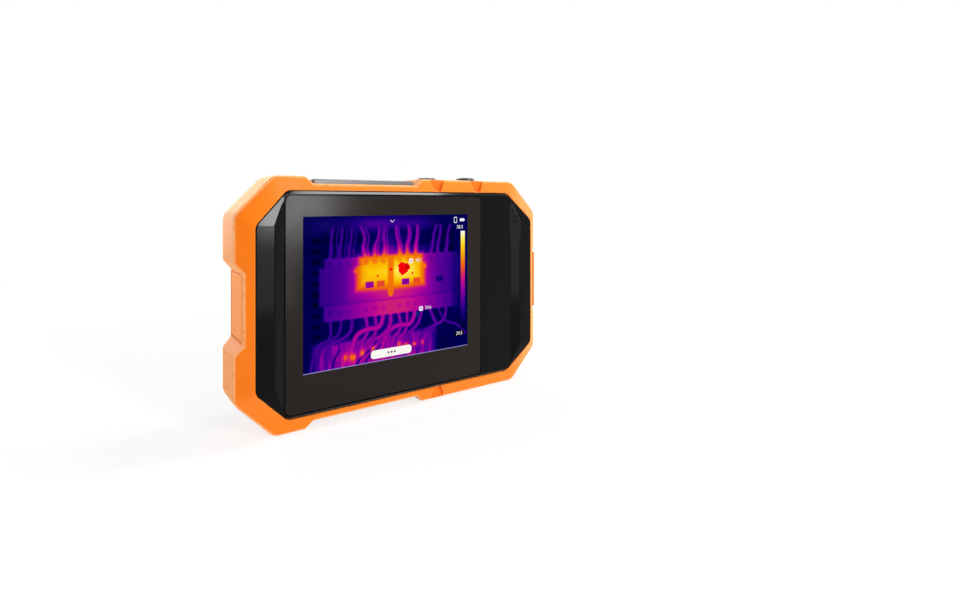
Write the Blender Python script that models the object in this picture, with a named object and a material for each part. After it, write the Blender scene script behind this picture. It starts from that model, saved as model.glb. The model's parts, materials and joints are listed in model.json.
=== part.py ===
"""Pocket thermal imaging camera, built as an assembly of separate pieces.

Lengths are in millimetres here and become metres when a mesh is made. In the body frame x points
to the viewer's right, y is the depth behind the face of the cover glass, and z is the height above
the middle of the body, so the screen looks along -y. The empty body_centre lifts everything so
that the bumper stands on the ground with its footprint around the world origin.
"""

import math

import bmesh
import bpy

# Units and clearances
MM = 0.001
GAP = 0.3
SLIT = 0.2
# How far a helper runs past what it cuts, and how far a joined one reaches into its neighbour
PAST = 1.0
BITE = 0.5

# Display and cover glass, from the size of the picture outwards
SCREEN_W = 71.1
SCREEN_H = 53.3
GLASS_LEFT = 6.2
GLASS_RIGHT = 7.15
GLASS_TOP = 7.2
GLASS_BOTTOM = 12.8
GLASS_T = 1.2
GLASS_R = 2.4
LCD_BORDER = 3.0
LCD_LEDGE = 4.5
LCD_T = 2.5

# Front housing: flat face, raised shoulders at the sides, thin bevels above and below
GLASS_RIM = 0.5
THUMB_STRIP_W = 16.8
SLOPE_W = 3.6
SHOULDER_W = 6.2
SHOULDER_RISE = 2.1
BEVEL_H = 1.0
BEVEL_D = 0.9
CORNER_CUT = 11.4
CORNER_R = 4.0
FACE_R = 2.6
WALL = 2.4
FRONT_WALL = 1.5
SPLIT_LIP = 0.6

# Rear housing and the seal between the two
BODY_DEPTH = 18.5
BACK_WALL = 1.8
BACK_BEVEL = 2.2
SEAL_IN = 0.75
SEAL_W = 0.9
SEAL_SINK = 0.5
SEAL_PLAY = 0.25

# Bumper: how far it stands out around the housing, and its notches
BUMPER_SIDE = 6.2
BUMPER_TOP = 5.15
BUMPER_CUT = 13.2
BUMPER_R = 5.0
BUMPER_LIP_Y = 1.9
BUMPER_SET_BACK = 1.0
BUMPER_EDGE = 0.7
BUMPER_BACK_EDGE = 1.5
SIDE_NOTCH = 2.75
SIDE_NOTCH_OPEN = 29.6
SIDE_NOTCH_FLOOR = 23.1
END_NOTCH = 2.5
END_NOTCH_LENGTH = 48.4
END_NOTCH_RAMP = 2.8
END_NOTCH_X = -18.3
NOTCH_R = 1.2
SCOOP_W = 7.2
SCOOP_NECK = 3.6
SCOOP_DEPTH = 1.5
SCOOP_EDGE = 0.4
SCOOP_LIP = 0.15
SCOOP_PAST = 0.6
SCOOP_DRAFT = 1.2
SCOOP_REACH = 4.0

# Trim panel in the top notch
TRIM_Y = 3.2
TRIM_D = 9.8
TRIM_PROUD = 1.7
TRIM_INSET = 0.4
TRIM_EDGE = 0.6

# Buttons on the top
BUTTON_R = 3.95
BUTTON_Y = 9.2
BUTTON_STEPS = 28
BUTTON_EDGE = 0.6
POWER_X = 12.9
CAPTURE_X = 33.2
POWER_PROUD = 0.8
CAPTURE_PROUD = 1.5
FLANGE_OUT = 1.2
FLANGE_T = 1.1
TRAVEL = 0.6
STEM_R = 1.5
PLUNGER_R = 1.2
PLUNGER_L = 2.6
PLUNGER_SINK = 1.0
SWITCH_W = 6.0
SWITCH_H = 3.6
KEY_BOARD_T = 1.2
KEY_BOARD_END = 3.5
SHELF_T = 1.2
SHELF_END = 0.5
SHELF_CLEAR = 0.5

# Port flap and USB-C socket
USB_W = 9.0
USB_H = 3.3
USB_L = 7.0
USB_WALL = 0.35
USB_INSET = 1.7
USB_BACK = 1.2
TONGUE_T = 0.7
TONGUE_IN = 0.6
TONGUE_EDGE = 1.2
PORT_W = 13.0
PORT_D = 6.5
FLAP_H = 21.6
FLAP_L = 12.9
FLAP_T = 1.5
FLAP_R = 1.0
PLUG_T = 1.3
PLUG_EDGE = 0.8
PLUG_R = 1.0

# Strap bar in the right notch
BAR_T = 1.7
BAR_D = 3.2
BAR_Y = 1.5
BAR_FOOT = 0.9
BAR_OVER = 1.1
BAR_EDGE = 0.6
STRAP_FLOOR = 1.3
STRAP_D = 12.4
STRAP_LIP = 1.0

# Boards and battery
CHASSIS_T = 1.0
BOARD_T = 1.2
BOARD_IN = 1.0
BATTERY_W = 74.0
BATTERY_H = 27.0
BATTERY_T = 6.4
BATTERY_R = 2.0
BATTERY_X = 1.0
BATTERY_LIFT = 2.2
SHIELD_W = 22.0
SHIELD_H = 22.0
SHIELD_T = 1.8
SHIELD_SIDE = 30.7
SHIELD_Z = 11.0
RADIO_W = 8.0
RADIO_H = 15.0
RADIO_T = 1.5
RADIO_SIDE = 12.2
RADIO_Z = 2.0
RIBBON_W = 20.0
RIBBON_T = 0.3
RIBBON_SLACK = 0.9
RIBBON_TAIL = 5.0
RIBBON_ROOM = 1.0
RIBBON_SLOT_H = 3.6
SPEAKER_R = 6.5
SPEAKER_T = 3.6
SPEAKER_SIDE = 13.2
SPEAKER_Z = -15.0
SLIT_L = 8.0
SLIT_W = 1.2
SLIT_PITCH = 2.8

# Screws
POST_IN = 9.0
POST_R = 3.0
SCREW_R = 1.1
HEAD_R = 2.2
HEAD_T = 1.6
HEAD_SINK = 0.4
DRIVE_R = 0.9
DRIVE_DEPTH = 0.8
BOARD_SCREW_SIDE = 13.0
BOARD_SCREW_END = 4.2
BOARD_SCREW_R = 0.8
BOARD_HEAD_R = 1.6
BOARD_HEAD_T = 1.0

# Optics in the back
LENS_Z = 17.0
CAMERA_OFFSET = 20.5
TORCH_OFFSET = 20.5
COVER_W = 60.0
COVER_H = 25.0
COVER_T = 1.2
COVER_R = 6.0
BARREL_R = 7.5
BARREL_WALL = 1.4
BARREL_FLANGE = 2.5
BARREL_FLANGE_T = 1.0
BARREL_SINK = 0.6
BARREL_STEP = 0.8
BARREL_LEDGE = 0.9
REAR_SEAT = 1.2
REAR_LENS_T = 1.5
REAR_LENS_EDGE = 0.9
LENS_SPACE = 0.6
FRONT_LENS_T = 2.75
FRONT_LENS_EDGE = 1.7
BEZEL_W = 3.2
BEZEL_T = 1.5
BEZEL_EDGE = 0.7
BEZEL_LIP = 0.5
CORE_W = 23.0
CORE_T = 4.9
CORE_FLOOR = 1.4
CORE_EDGE = 0.8
POLE_W = 2.4
POLE_OUT = 7.7
DETECTOR_W = 14.0
DETECTOR_T = 2.2
BLADE_ROOM = 1.4
BLADE_T = 0.5
BLADE_R = 4.75
HUB_R = 2.2
ARM_L = 9.6
PIN_R = 0.8
PARK_ANGLE = 60.0
ACTUATOR_W = 4.4
ACTUATOR_H = 6.0
ACTUATOR_T = 4.2
CAMERA_W = 8.4
CAMERA_R = 2.8
WINDOW_R = 3.6
TORCH_W = 7.0
TORCH_T = 2.4
TORCH_R = 2.3
TORCH_DOME = 0.4

# Tripod thread in the underside
INSERT_R = 4.0
INSERT_BORE_R = 2.6
INSERT_L = 9.0
INSERT_END = 1.5
INSERT_Y = 12.2
BOSS_W = 13.0

# Sizes that follow from the values above
GLASS_W = GLASS_LEFT + SCREEN_W + GLASS_RIGHT
GLASS_H = GLASS_BOTTOM + SCREEN_H + GLASS_TOP
FACE_W = GLASS_RIM + GLASS_W + THUMB_STRIP_W
FACE_HALF_W = FACE_W / 2
HALF_W = FACE_HALF_W + SLOPE_W + SHOULDER_W
FACE_HALF_H = GLASS_H / 2 + GLASS_RIM
HALF_H = FACE_HALF_H + BEVEL_H
OUT_W = HALF_W + BUMPER_SIDE
OUT_H = HALF_H + BUMPER_TOP
GLASS_X = -FACE_HALF_W + GLASS_RIM + GLASS_W / 2
SCREEN_X = GLASS_X - GLASS_W / 2 + GLASS_LEFT + SCREEN_W / 2
SCREEN_Z = -GLASS_H / 2 + GLASS_BOTTOM + SCREEN_H / 2
LCD_Y = GLASS_T + GAP
CHASSIS_Y = LCD_Y + LCD_T + GAP
BOARD_Y = CHASSIS_Y + CHASSIS_T + GAP
DECK_Y = BOARD_Y + BOARD_T + GAP
SPLIT_Y = LCD_Y + FRONT_WALL + SPLIT_LIP
REAR_Y = SPLIT_Y + GAP
INNER_BACK = BODY_DEPTH - BACK_WALL
BUMPER_BACK = BODY_DEPTH - BUMPER_SET_BACK
COVER_Y = BODY_DEPTH + GAP
BEZEL_Y = COVER_Y + COVER_T + GAP
DEPTH_BACK = BEZEL_Y + BEZEL_T
DEPTH_FRONT = -SHOULDER_RISE
PORT_Y = DECK_Y + USB_H / 2
POST_X = HALF_W - POST_IN
POST_Z = HALF_H - POST_IN
LENS_X = SCREEN_X
CAMERA_X = LENS_X + CAMERA_OFFSET
TORCH_X = LENS_X - TORCH_OFFSET
BARREL_Y = DECK_Y + CORE_T + BLADE_ROOM
NOTCH_FLOOR_X = OUT_W - SIDE_NOTCH
NOTCH_FLOOR_Z = OUT_H - END_NOTCH
STRAP_H = SIDE_NOTCH_FLOOR - 2 * (GAP + BAR_FOOT + SLIT)
BOSS_TOP = -(NOTCH_FLOOR_Z - GAP - INSERT_L) + GAP
BATTERY_Z = BOSS_TOP + BATTERY_LIFT + BATTERY_H / 2
SHIELD_X = HALF_W - SHIELD_SIDE
RADIO_X = HALF_W - RADIO_SIDE
SPEAKER_X = HALF_W - SPEAKER_SIDE


def start():
    """Empty the file, and put the empty that carries the whole body."""
    for old in list(bpy.data.objects):
        bpy.data.objects.remove(old, do_unlink=True)
    root = bpy.data.objects.new("body_centre", None)
    root.location = (0.0, -(DEPTH_FRONT + DEPTH_BACK) / 2 * MM, OUT_H * MM)
    bpy.context.scene.collection.objects.link(root)
    return root


ROOT = start()


def material(name, colour, roughness=0.5, metallic=0.0, transmission=0.0):
    """A Principled material in one plain colour."""
    made = bpy.data.materials.new(name)
    made.use_nodes = True
    shader = made.node_tree.nodes["Principled BSDF"]
    shader.inputs["Base Color"].default_value = (*colour, 1.0)
    shader.inputs["Roughness"].default_value = roughness
    shader.inputs["Metallic"].default_value = metallic
    shader.inputs["Transmission Weight"].default_value = transmission
    return made


def finish(name, bm, look=None, at=(0.0, 0.0, 0.0)):
    """Turn a bmesh in millimetres into a named object whose origin lies at `at` in the body."""
    bmesh.ops.recalc_face_normals(bm, faces=bm.faces)
    bmesh.ops.scale(bm, vec=(MM, MM, MM), verts=bm.verts)
    mesh = bpy.data.meshes.new(name)
    bm.to_mesh(mesh)
    bm.free()
    made = bpy.data.objects.new(name, mesh)
    made.parent = ROOT
    made.location = [value * MM for value in at]
    bpy.context.scene.collection.objects.link(made)
    if look is not None:
        mesh.materials.append(look)
    return made


def boolean(target, tool, operation):
    """Cut `tool` out of `target`, or join it on, and keep the tool as a hidden helper."""
    step = target.modifiers.new(tool.name, "BOOLEAN")
    step.operation = operation
    step.solver = "EXACT"
    step.object = tool
    tool.hide_render = True
    tool.display_type = "WIRE"


def cut(target, *tools):
    """Subtract each tool."""
    for tool in tools:
        boolean(target, tool, "DIFFERENCE")


def join(target, *tools):
    """Add each tool."""
    for tool in tools:
        boolean(target, tool, "UNION")


def slab(outline, low, high, axis="y"):
    """A flat outline pushed along an axis from `low` to `high`."""
    spot = {
        "x": lambda a, b: (low, a, b),
        "y": lambda a, b: (a, low, b),
        "z": lambda a, b: (a, b, low),
    }[axis]
    bm = bmesh.new()
    base = bm.faces.new([bm.verts.new(spot(a, b)) for a, b in outline])
    grown = bmesh.ops.extrude_face_region(bm, geom=[base])["geom"]
    top = [item for item in grown if isinstance(item, bmesh.types.BMVert)]
    way = {"x": (1, 0, 0), "y": (0, 1, 0), "z": (0, 0, 1)}[axis]
    bmesh.ops.translate(bm, verts=top, vec=[step * (high - low) for step in way])
    return bm


def box(size_a, size_b, at=(0.0, 0.0)):
    """A rectangle around `at`."""
    a, b = at
    ha = size_a / 2
    hb = size_b / 2
    return [(a - ha, b - hb), (a + ha, b - hb), (a + ha, b + hb), (a - ha, b + hb)]


def circle(radius, steps=24, at=(0.0, 0.0)):
    """A regular outline around `at`."""
    turn = 2 * math.pi / steps
    return [
        (at[0] + radius * math.cos(turn * k), at[1] + radius * math.sin(turn * k))
        for k in range(steps)
    ]


def rounded(corners, radius, steps):
    """Each corner of an outline becomes an arc of `steps` pieces that touches both its sides."""
    points = []
    count = len(corners)
    for k in range(count):
        points.extend(arc_at(corners[k - 1], corners[k], corners[(k + 1) % count], radius, steps))
    return points


def arc_at(before, corner, after, radius, steps):
    """The arc that rounds one corner: a quadratic curve between its two touching points."""
    ends = []
    angle = math.atan2(before[1] - corner[1], before[0] - corner[0])
    angle -= math.atan2(after[1] - corner[1], after[0] - corner[0])
    reach = radius / math.tan(abs((angle + math.pi) % (2 * math.pi) - math.pi) / 2)
    for other in (before, after):
        span = math.hypot(other[0] - corner[0], other[1] - corner[1])
        share = min(reach / span, 0.45)
        ends.append([corner[i] + (other[i] - corner[i]) * share for i in (0, 1)])
    arc = []
    for k in range(steps + 1):
        t = k / steps
        arc.append(
            tuple(
                ends[0][i] * (1 - t) ** 2 + 2 * corner[i] * t * (1 - t) + ends[1][i] * t**2
                for i in (0, 1)
            )
        )
    return arc


def soft_box(size_a, size_b, radius, at=(0.0, 0.0), steps=4):
    """A rectangle with round corners."""
    return rounded(box(size_a, size_b, at), radius, steps)


def turned(profile, centre, steps=32, ring=False):
    """A profile of (radius, depth) turned about an axis along y through centre (x, z)."""
    bm = bmesh.new()
    rows = []
    for radius, depth in profile:
        if radius == 0:
            rows.append([bm.verts.new((centre[0], depth, centre[1]))] * steps)
            continue
        rows.append([bm.verts.new((a, depth, b)) for a, b in circle(radius, steps, centre)])
    pairs = list(zip(rows, rows[1:]))
    if ring:
        pairs.append((rows[-1], rows[0]))
    for low, high in pairs:
        for k in range(steps):
            n = (k + 1) % steps
            corners = []
            for vert in (low[k], low[n], high[n], high[k]):
                if vert not in corners:
                    corners.append(vert)
            bm.faces.new(corners)
    return bm


def carried(loops):
    """A closed tube of loops that have equal numbers of points: each is joined to the next."""
    bm = bmesh.new()
    rows = [[bm.verts.new(point) for point in loop] for loop in loops]
    count = len(rows[0])
    for low, high in zip(rows, rows[1:] + rows[:1]):
        for k in range(count):
            n = (k + 1) % count
            bm.faces.new((low[k], low[n], high[n], high[k]))
    return bm


def shell_corners(grow):
    """The eight corners of the housing seen from the front, moved outwards by `grow`."""
    w = HALF_W + grow
    h = HALF_H + grow
    leg = CORNER_CUT + grow * (2 - math.sqrt(2))
    return [
        (w, -h + leg), (w, h - leg), (w - leg, h), (-w + leg, h),
        (-w, h - leg), (-w, -h + leg), (-w + leg, -h), (w - leg, -h),
    ]


def shell_loop(grow):
    """The housing's outline with its eight corners rounded."""
    return rounded(shell_corners(grow), CORNER_R, 2)


def face_depth(z):
    """Depth of the front housing's outer edge: raised at the sides, set back above and below."""
    share = (abs(z) - (HALF_H - CORNER_CUT)) / CORNER_CUT
    share = min(max(share, 0.0), 1.0)
    return -SHOULDER_RISE + share * (SHOULDER_RISE + BEVEL_D)


def post(name, x, z, radius, low, high, steps=16):
    """A round helper along y."""
    return finish(name, slab(circle(radius, steps, (x, z)), low, high))


def ring_slab(outer, inner, low, high):
    """A flat ring between two loops."""
    return carried(
        [
            [(x, low, z) for x, z in outer],
            [(x, high, z) for x, z in outer],
            [(x, high, z) for x, z in inner],
            [(x, low, z) for x, z in inner],
        ]
    )


def seal_groove(name):
    """The helper that cuts the seal's groove into both housings."""
    outer = shell_loop(-SEAL_IN + SEAL_PLAY)
    inner = shell_loop(-SEAL_IN - SEAL_W - SEAL_PLAY)
    deep = SEAL_SINK + GAP
    return finish(name, ring_slab(outer, inner, SPLIT_Y - deep, REAR_Y + deep))


def screw_places():
    """Where the four housing screws stand."""
    return [(POST_X, POST_Z), (-POST_X, POST_Z), (-POST_X, -POST_Z), (POST_X, -POST_Z)]


def make_glass():
    """Cover glass with the touch panel."""
    look = material("cover_glass", (0.012, 0.012, 0.014), 0.05)
    outline = soft_box(GLASS_W, GLASS_H, GLASS_R, (GLASS_X, 0.0))
    return finish("touch_glass", slab(outline, 0.0, GLASS_T), look)


def lcd_outline(grow):
    """Outline of the display module, which has a wider ledge below the picture."""
    high = SCREEN_H + LCD_BORDER + LCD_LEDGE + 2 * grow
    middle = SCREEN_Z + (LCD_BORDER - LCD_LEDGE) / 2
    return box(SCREEN_W + 2 * LCD_BORDER + 2 * grow, high, (SCREEN_X, middle))


def make_display():
    """Display module and the ribbon that joins it to the main board."""
    look = material("display_panel", (0.05, 0.06, 0.08), 0.2)
    finish("lcd_module", slab(lcd_outline(0.0), LCD_Y, LCD_Y + LCD_T), look)
    ribbon = material("ribbon", (0.55, 0.30, 0.04), 0.5)
    top = SCREEN_Z - SCREEN_H / 2 - LCD_LEDGE - GAP
    front = LCD_Y + FRONT_WALL + GAP
    back = DECK_Y + RIBBON_T
    low = min(top, -board_half_h()) - RIBBON_SLACK
    tail = low + RIBBON_TAIL
    outline = [
        (front, top), (front, low), (back, low), (back, tail),
        (back - RIBBON_T, tail), (back - RIBBON_T, low + RIBBON_T),
        (front + RIBBON_T, low + RIBBON_T), (front + RIBBON_T, top),
    ]
    left = SCREEN_X - RIBBON_W / 2
    finish("lcd_ribbon", slab(outline, left, left + RIBBON_W, "x"), ribbon)
    return low


def make_front_housing():
    """Front shell: flat face, slopes up to the raised shoulders, corner facets and thin bevels."""
    bm = bmesh.new()
    loop = shell_loop(0.0)
    rim = [bm.verts.new((x, face_depth(z), z)) for x, z in loop]
    back = [bm.verts.new((x, SPLIT_Y, z)) for x, z in loop]
    count = len(rim)
    for k in range(count):
        n = (k + 1) % count
        bm.faces.new((rim[k], rim[n], back[n], back[k]))
    bm.faces.new(back)
    ridge_x = HALF_W - SHOULDER_W
    ridge_z = HALF_H - CORNER_CUT
    face_corner = arc_at(
        (FACE_HALF_W, 0.0), (FACE_HALF_W, FACE_HALF_H), (0.0, FACE_HALF_H), FACE_R, 3
    )
    inner = {}
    for sx in (1, -1):
        for sz in (1, -1):
            ridge = bm.verts.new((sx * ridge_x, -SHOULDER_RISE, sz * ridge_z))
            soft = [bm.verts.new((sx * x, 0.0, sz * z)) for x, z in face_corner]
            inner[sx, sz] = (ridge, soft)
    # Each corner's six points of the rim, counted from the side towards the top or the bottom
    arcs = {
        (1, 1): rim[3:9],
        (-1, 1): rim[9:15][::-1],
        (-1, -1): rim[15:21],
        (1, -1): (rim[21:24] + rim[0:3])[::-1],
    }
    for key, (ridge, soft) in inner.items():
        b = arcs[key]
        for corner in (b[0], b[1]):
            corner.co.y = -SHOULDER_RISE
        for face in (
            (ridge, b[1], b[2]), (ridge, b[2], b[3]), (ridge, b[3], soft[0]),
            (soft[-1], b[3], b[4]), (soft[-1], b[4], b[5]),
        ):
            bm.faces.new(face)
        for low, high in zip(soft, soft[1:]):
            bm.faces.new((low, b[3], high))
    for sx in (1, -1):
        up, down = inner[sx, 1], inner[sx, -1]
        bm.faces.new((up[0], up[1][0], down[1][0], down[0]))
        outer = [arcs[sx, 1][1], arcs[sx, 1][0], arcs[sx, -1][0], arcs[sx, -1][1]]
        bm.faces.new([up[0], *outer, down[0]])
    for sz in (1, -1):
        left, right = inner[-1, sz][1], inner[1, sz][1]
        bm.faces.new((left[-1], right[-1], arcs[1, sz][5], arcs[-1, sz][5]))
    face = []
    for key, way in (((1, 1), 1), ((-1, 1), -1), ((-1, -1), 1), ((1, -1), -1)):
        face.extend(inner[key][1][::way])
    bm.faces.new(face)
    look = material("front_plastic", (0.02, 0.02, 0.021), 0.45)
    housing = finish("front_housing", bm, look)
    recess = soft_box(GLASS_W + 2 * SLIT, GLASS_H + 2 * SLIT, GLASS_R + SLIT, (GLASS_X, 0.0))
    cut(
        housing,
        finish("cut_glass_seat", slab(recess, -PAST, LCD_Y)),
        finish("cut_lcd_window", slab(lcd_outline(GAP), LCD_Y - BITE, SPLIT_Y + PAST)),
        finish("cut_front_hollow", slab(plate_outline(0.0), LCD_Y + FRONT_WALL, SPLIT_Y + PAST)),
        seal_groove("cut_front_groove"),
    )
    for k, (x, z) in enumerate(screw_places()):
        deep = LCD_Y - 2 * GAP
        cut(housing, post(f"cut_pilot_{k}", x, z, SCREW_R + GAP, deep, SPLIT_Y + PAST))
    return housing


def make_seal():
    """Soft ring in the groove between the two housings."""
    look = material("seal_rubber", (0.03, 0.03, 0.03), 0.8)
    outer = shell_loop(-SEAL_IN)
    inner = shell_loop(-SEAL_IN - SEAL_W)
    finish("housing_seal", ring_slab(outer, inner, SPLIT_Y - SEAL_SINK, REAR_Y + SEAL_SINK), look)


def plate_outline(inset):
    """Flat plate inside the housing, its corners cut back so as to clear the screw posts."""
    w = HALF_W - WALL - GAP - inset
    h = HALF_H - WALL - GAP - inset
    leg = w + h - (POST_X + POST_Z - (POST_R + GAP) * math.sqrt(2)) + inset
    return [
        (w, -h + leg), (w, h - leg), (w - leg, h), (-w + leg, h),
        (-w, h - leg), (-w, -h + leg), (-w + leg, -h), (w - leg, -h),
    ]


def board_half_h():
    """Half of the main board's height: it stops below the key board."""
    return key_board_z() - GAP


def board_outline():
    """Outline of the main board."""
    return [(x, min(max(z, -board_half_h()), board_half_h())) for x, z in plate_outline(BOARD_IN)]


def board_screw_places():
    """Where the four screws of the main board stand."""
    x = HALF_W - WALL - GAP - BOARD_IN - BOARD_SCREW_SIDE
    z = board_half_h() - BOARD_SCREW_END
    return [(x, z), (-x, z), (-x, -z), (x, -z)]


def make_boards(ribbon_low):
    """Chassis plate, main board with its screws, shields and radio."""
    look = material("chassis_metal", (0.55, 0.56, 0.58), 0.4, 1.0)
    chassis = finish(
        "mid_chassis", slab(plate_outline(GAP), CHASSIS_Y, CHASSIS_Y + CHASSIS_T), look
    )
    slot = box(RIBBON_W + 2 * RIBBON_ROOM, RIBBON_SLOT_H, (SCREEN_X, ribbon_low))
    behind = CHASSIS_Y + CHASSIS_T + PAST
    cut(chassis, finish("cut_ribbon_slot", slab(slot, CHASSIS_Y - PAST, behind)))
    look = material("circuit_board", (0.02, 0.14, 0.07), 0.5)
    board = finish("main_board", slab(board_outline(), BOARD_Y, BOARD_Y + BOARD_T), look)
    look = material("board_screw_steel", (0.6, 0.6, 0.62), 0.3, 1.0)
    tip = CHASSIS_Y + SLIT
    for k, (x, z) in enumerate(board_screw_places()):
        hole = BOARD_SCREW_R + GAP
        cut(chassis, post(f"cut_chassis_hole_{k}", x, z, hole, CHASSIS_Y - PAST, behind))
        cut(board, post(f"cut_board_hole_{k}", x, z, hole, BOARD_Y - PAST, DECK_Y + PAST))
        profile = [
            (0, tip), (BOARD_SCREW_R, tip), (BOARD_SCREW_R, DECK_Y), (BOARD_HEAD_R, DECK_Y),
            (BOARD_HEAD_R, DECK_Y + BOARD_HEAD_T), (0, DECK_Y + BOARD_HEAD_T),
        ]
        finish(f"board_screw_{k + 1}", turned(profile, (x, z), 12), look)
    look = material("shield_tin", (0.7, 0.7, 0.7), 0.35, 1.0)
    outline = box(SHIELD_W, SHIELD_H, (SHIELD_X, SHIELD_Z))
    finish("processor_shield", slab(outline, DECK_Y, DECK_Y + SHIELD_T), look)
    look = material("radio_tin", (0.65, 0.65, 0.66), 0.35, 1.0)
    outline = box(RADIO_W, RADIO_H, (RADIO_X, RADIO_Z))
    finish("wireless_module", slab(outline, DECK_Y, DECK_Y + RADIO_T), look)


def make_battery_and_speaker():
    """Battery pack and speaker, which lie against the inside of the back wall."""
    look = material("battery_wrap", (0.08, 0.16, 0.36), 0.45)
    outline = soft_box(BATTERY_W, BATTERY_H, BATTERY_R, (BATTERY_X, BATTERY_Z), 2)
    back = INNER_BACK - GAP
    finish("battery_pack", slab(outline, back - BATTERY_T, back), look)
    look = material("speaker_black", (0.04, 0.04, 0.04), 0.6)
    outline = circle(SPEAKER_R, 24, (SPEAKER_X, SPEAKER_Z))
    finish("speaker", slab(outline, back - SPEAKER_T, back), look)


def make_rear_housing():
    """Rear shell with its posts, boss, key shelf and openings."""
    bm = bmesh.new()
    rows = []
    for grow, depth in ((0.0, REAR_Y), (0.0, BODY_DEPTH - BACK_BEVEL), (-BACK_BEVEL, BODY_DEPTH)):
        rows.append([bm.verts.new((x, depth, z)) for x, z in shell_loop(grow)])
    count = len(rows[0])
    for low, high in zip(rows, rows[1:]):
        for k in range(count):
            n = (k + 1) % count
            bm.faces.new((low[k], low[n], high[n], high[k]))
    bm.faces.new(rows[0])
    bm.faces.new(rows[-1])
    look = material("rear_plastic", (0.022, 0.022, 0.023), 0.5)
    housing = finish("rear_housing", bm, look)
    hollow = finish("cut_rear_hollow", slab(shell_loop(-WALL), REAR_Y - PAST, INNER_BACK))
    cut(housing, hollow)
    for k, (x, z) in enumerate(screw_places()):
        join(housing, post(f"add_post_{k}", x, z, POST_R, REAR_Y + SLIT, INNER_BACK + BITE))
    boss_low = -HALF_H + WALL - BITE
    outline = box(BOSS_W, BOSS_TOP - boss_low, (LENS_X, (BOSS_TOP + boss_low) / 2))
    join(housing, finish("add_boss", slab(outline, DECK_Y, INNER_BACK + BITE)))
    middle = (POWER_X + CAPTURE_X) / 2
    shelf_length = key_board_length() + 2 * SHELF_END
    outline = box(shelf_length, SHELF_T, (middle, key_board_z() - GAP - SHELF_T / 2))
    shelf_front = BUTTON_Y + SWITCH_W / 2 + SHELF_CLEAR
    join(housing, finish("add_shelf", slab(outline, shelf_front, INNER_BACK + BITE)))
    cut(housing, seal_groove("cut_rear_groove"))
    for k, (x, z) in enumerate(screw_places()):
        floor = BODY_DEPTH - HEAD_SINK - HEAD_T - GAP
        cut(
            housing,
            post(f"cut_screw_{k}", x, z, SCREW_R + GAP, REAR_Y - PAST, floor + BITE),
            post(f"cut_head_{k}", x, z, HEAD_R + GAP, floor, BODY_DEPTH + PAST, 20),
        )
    inside = INNER_BACK - PAST
    outside = BODY_DEPTH + PAST
    cut(
        housing,
        post("cut_lens", LENS_X, LENS_Z, BARREL_R + GAP, inside, outside, 32),
        post("cut_camera", CAMERA_X, LENS_Z, CAMERA_R + GAP, inside, outside, 24),
        post("cut_torch", TORCH_X, LENS_Z, TORCH_R + GAP, inside, outside, 24),
    )
    port = soft_box(PORT_D, PORT_W, 1.5, (PORT_Y, 0.0), 3)
    cut(housing, finish("cut_port_rear", slab(port, -HALF_W - PAST, -HALF_W + WALL + PAST, "x")))
    for name, x in (("power", POWER_X), ("capture", CAPTURE_X)):
        hole = circle(STEM_R + GAP, 16, (x, BUTTON_Y))
        stem_hole = slab(hole, HALF_H - WALL - PAST, HALF_H + PAST, "z")
        cut(housing, finish(f"cut_stem_{name}", stem_hole))
    bore = circle(INSERT_R + GAP, 24, (LENS_X, INSERT_Y))
    cut(housing, finish("cut_insert", slab(bore, -HALF_H - PAST, BOSS_TOP + PAST, "z")))
    for k in (-1, 0, 1):
        slot = box(SLIT_L, SLIT_W, (SPEAKER_X, SPEAKER_Z + k * SLIT_PITCH))
        cut(housing, finish(f"cut_sound_{k + 2}", slab(slot, inside, outside)))
    return housing


def make_housing_screws():
    """Four screws from the back into the front housing."""
    look = material("housing_screw_steel", (0.25, 0.25, 0.26), 0.35, 1.0)
    top = BODY_DEPTH - HEAD_SINK
    tip = LCD_Y - GAP
    under = top - HEAD_T
    for k, (x, z) in enumerate(screw_places()):
        profile = [
            (0, tip), (SCREW_R, tip), (SCREW_R, under), (HEAD_R, under), (HEAD_R, top),
            (SCREW_R, top), (DRIVE_R, top - DRIVE_DEPTH), (0, top - DRIVE_DEPTH),
        ]
        finish(f"housing_screw_{k + 1}", turned(profile, (x, z), 20), look)


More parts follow.
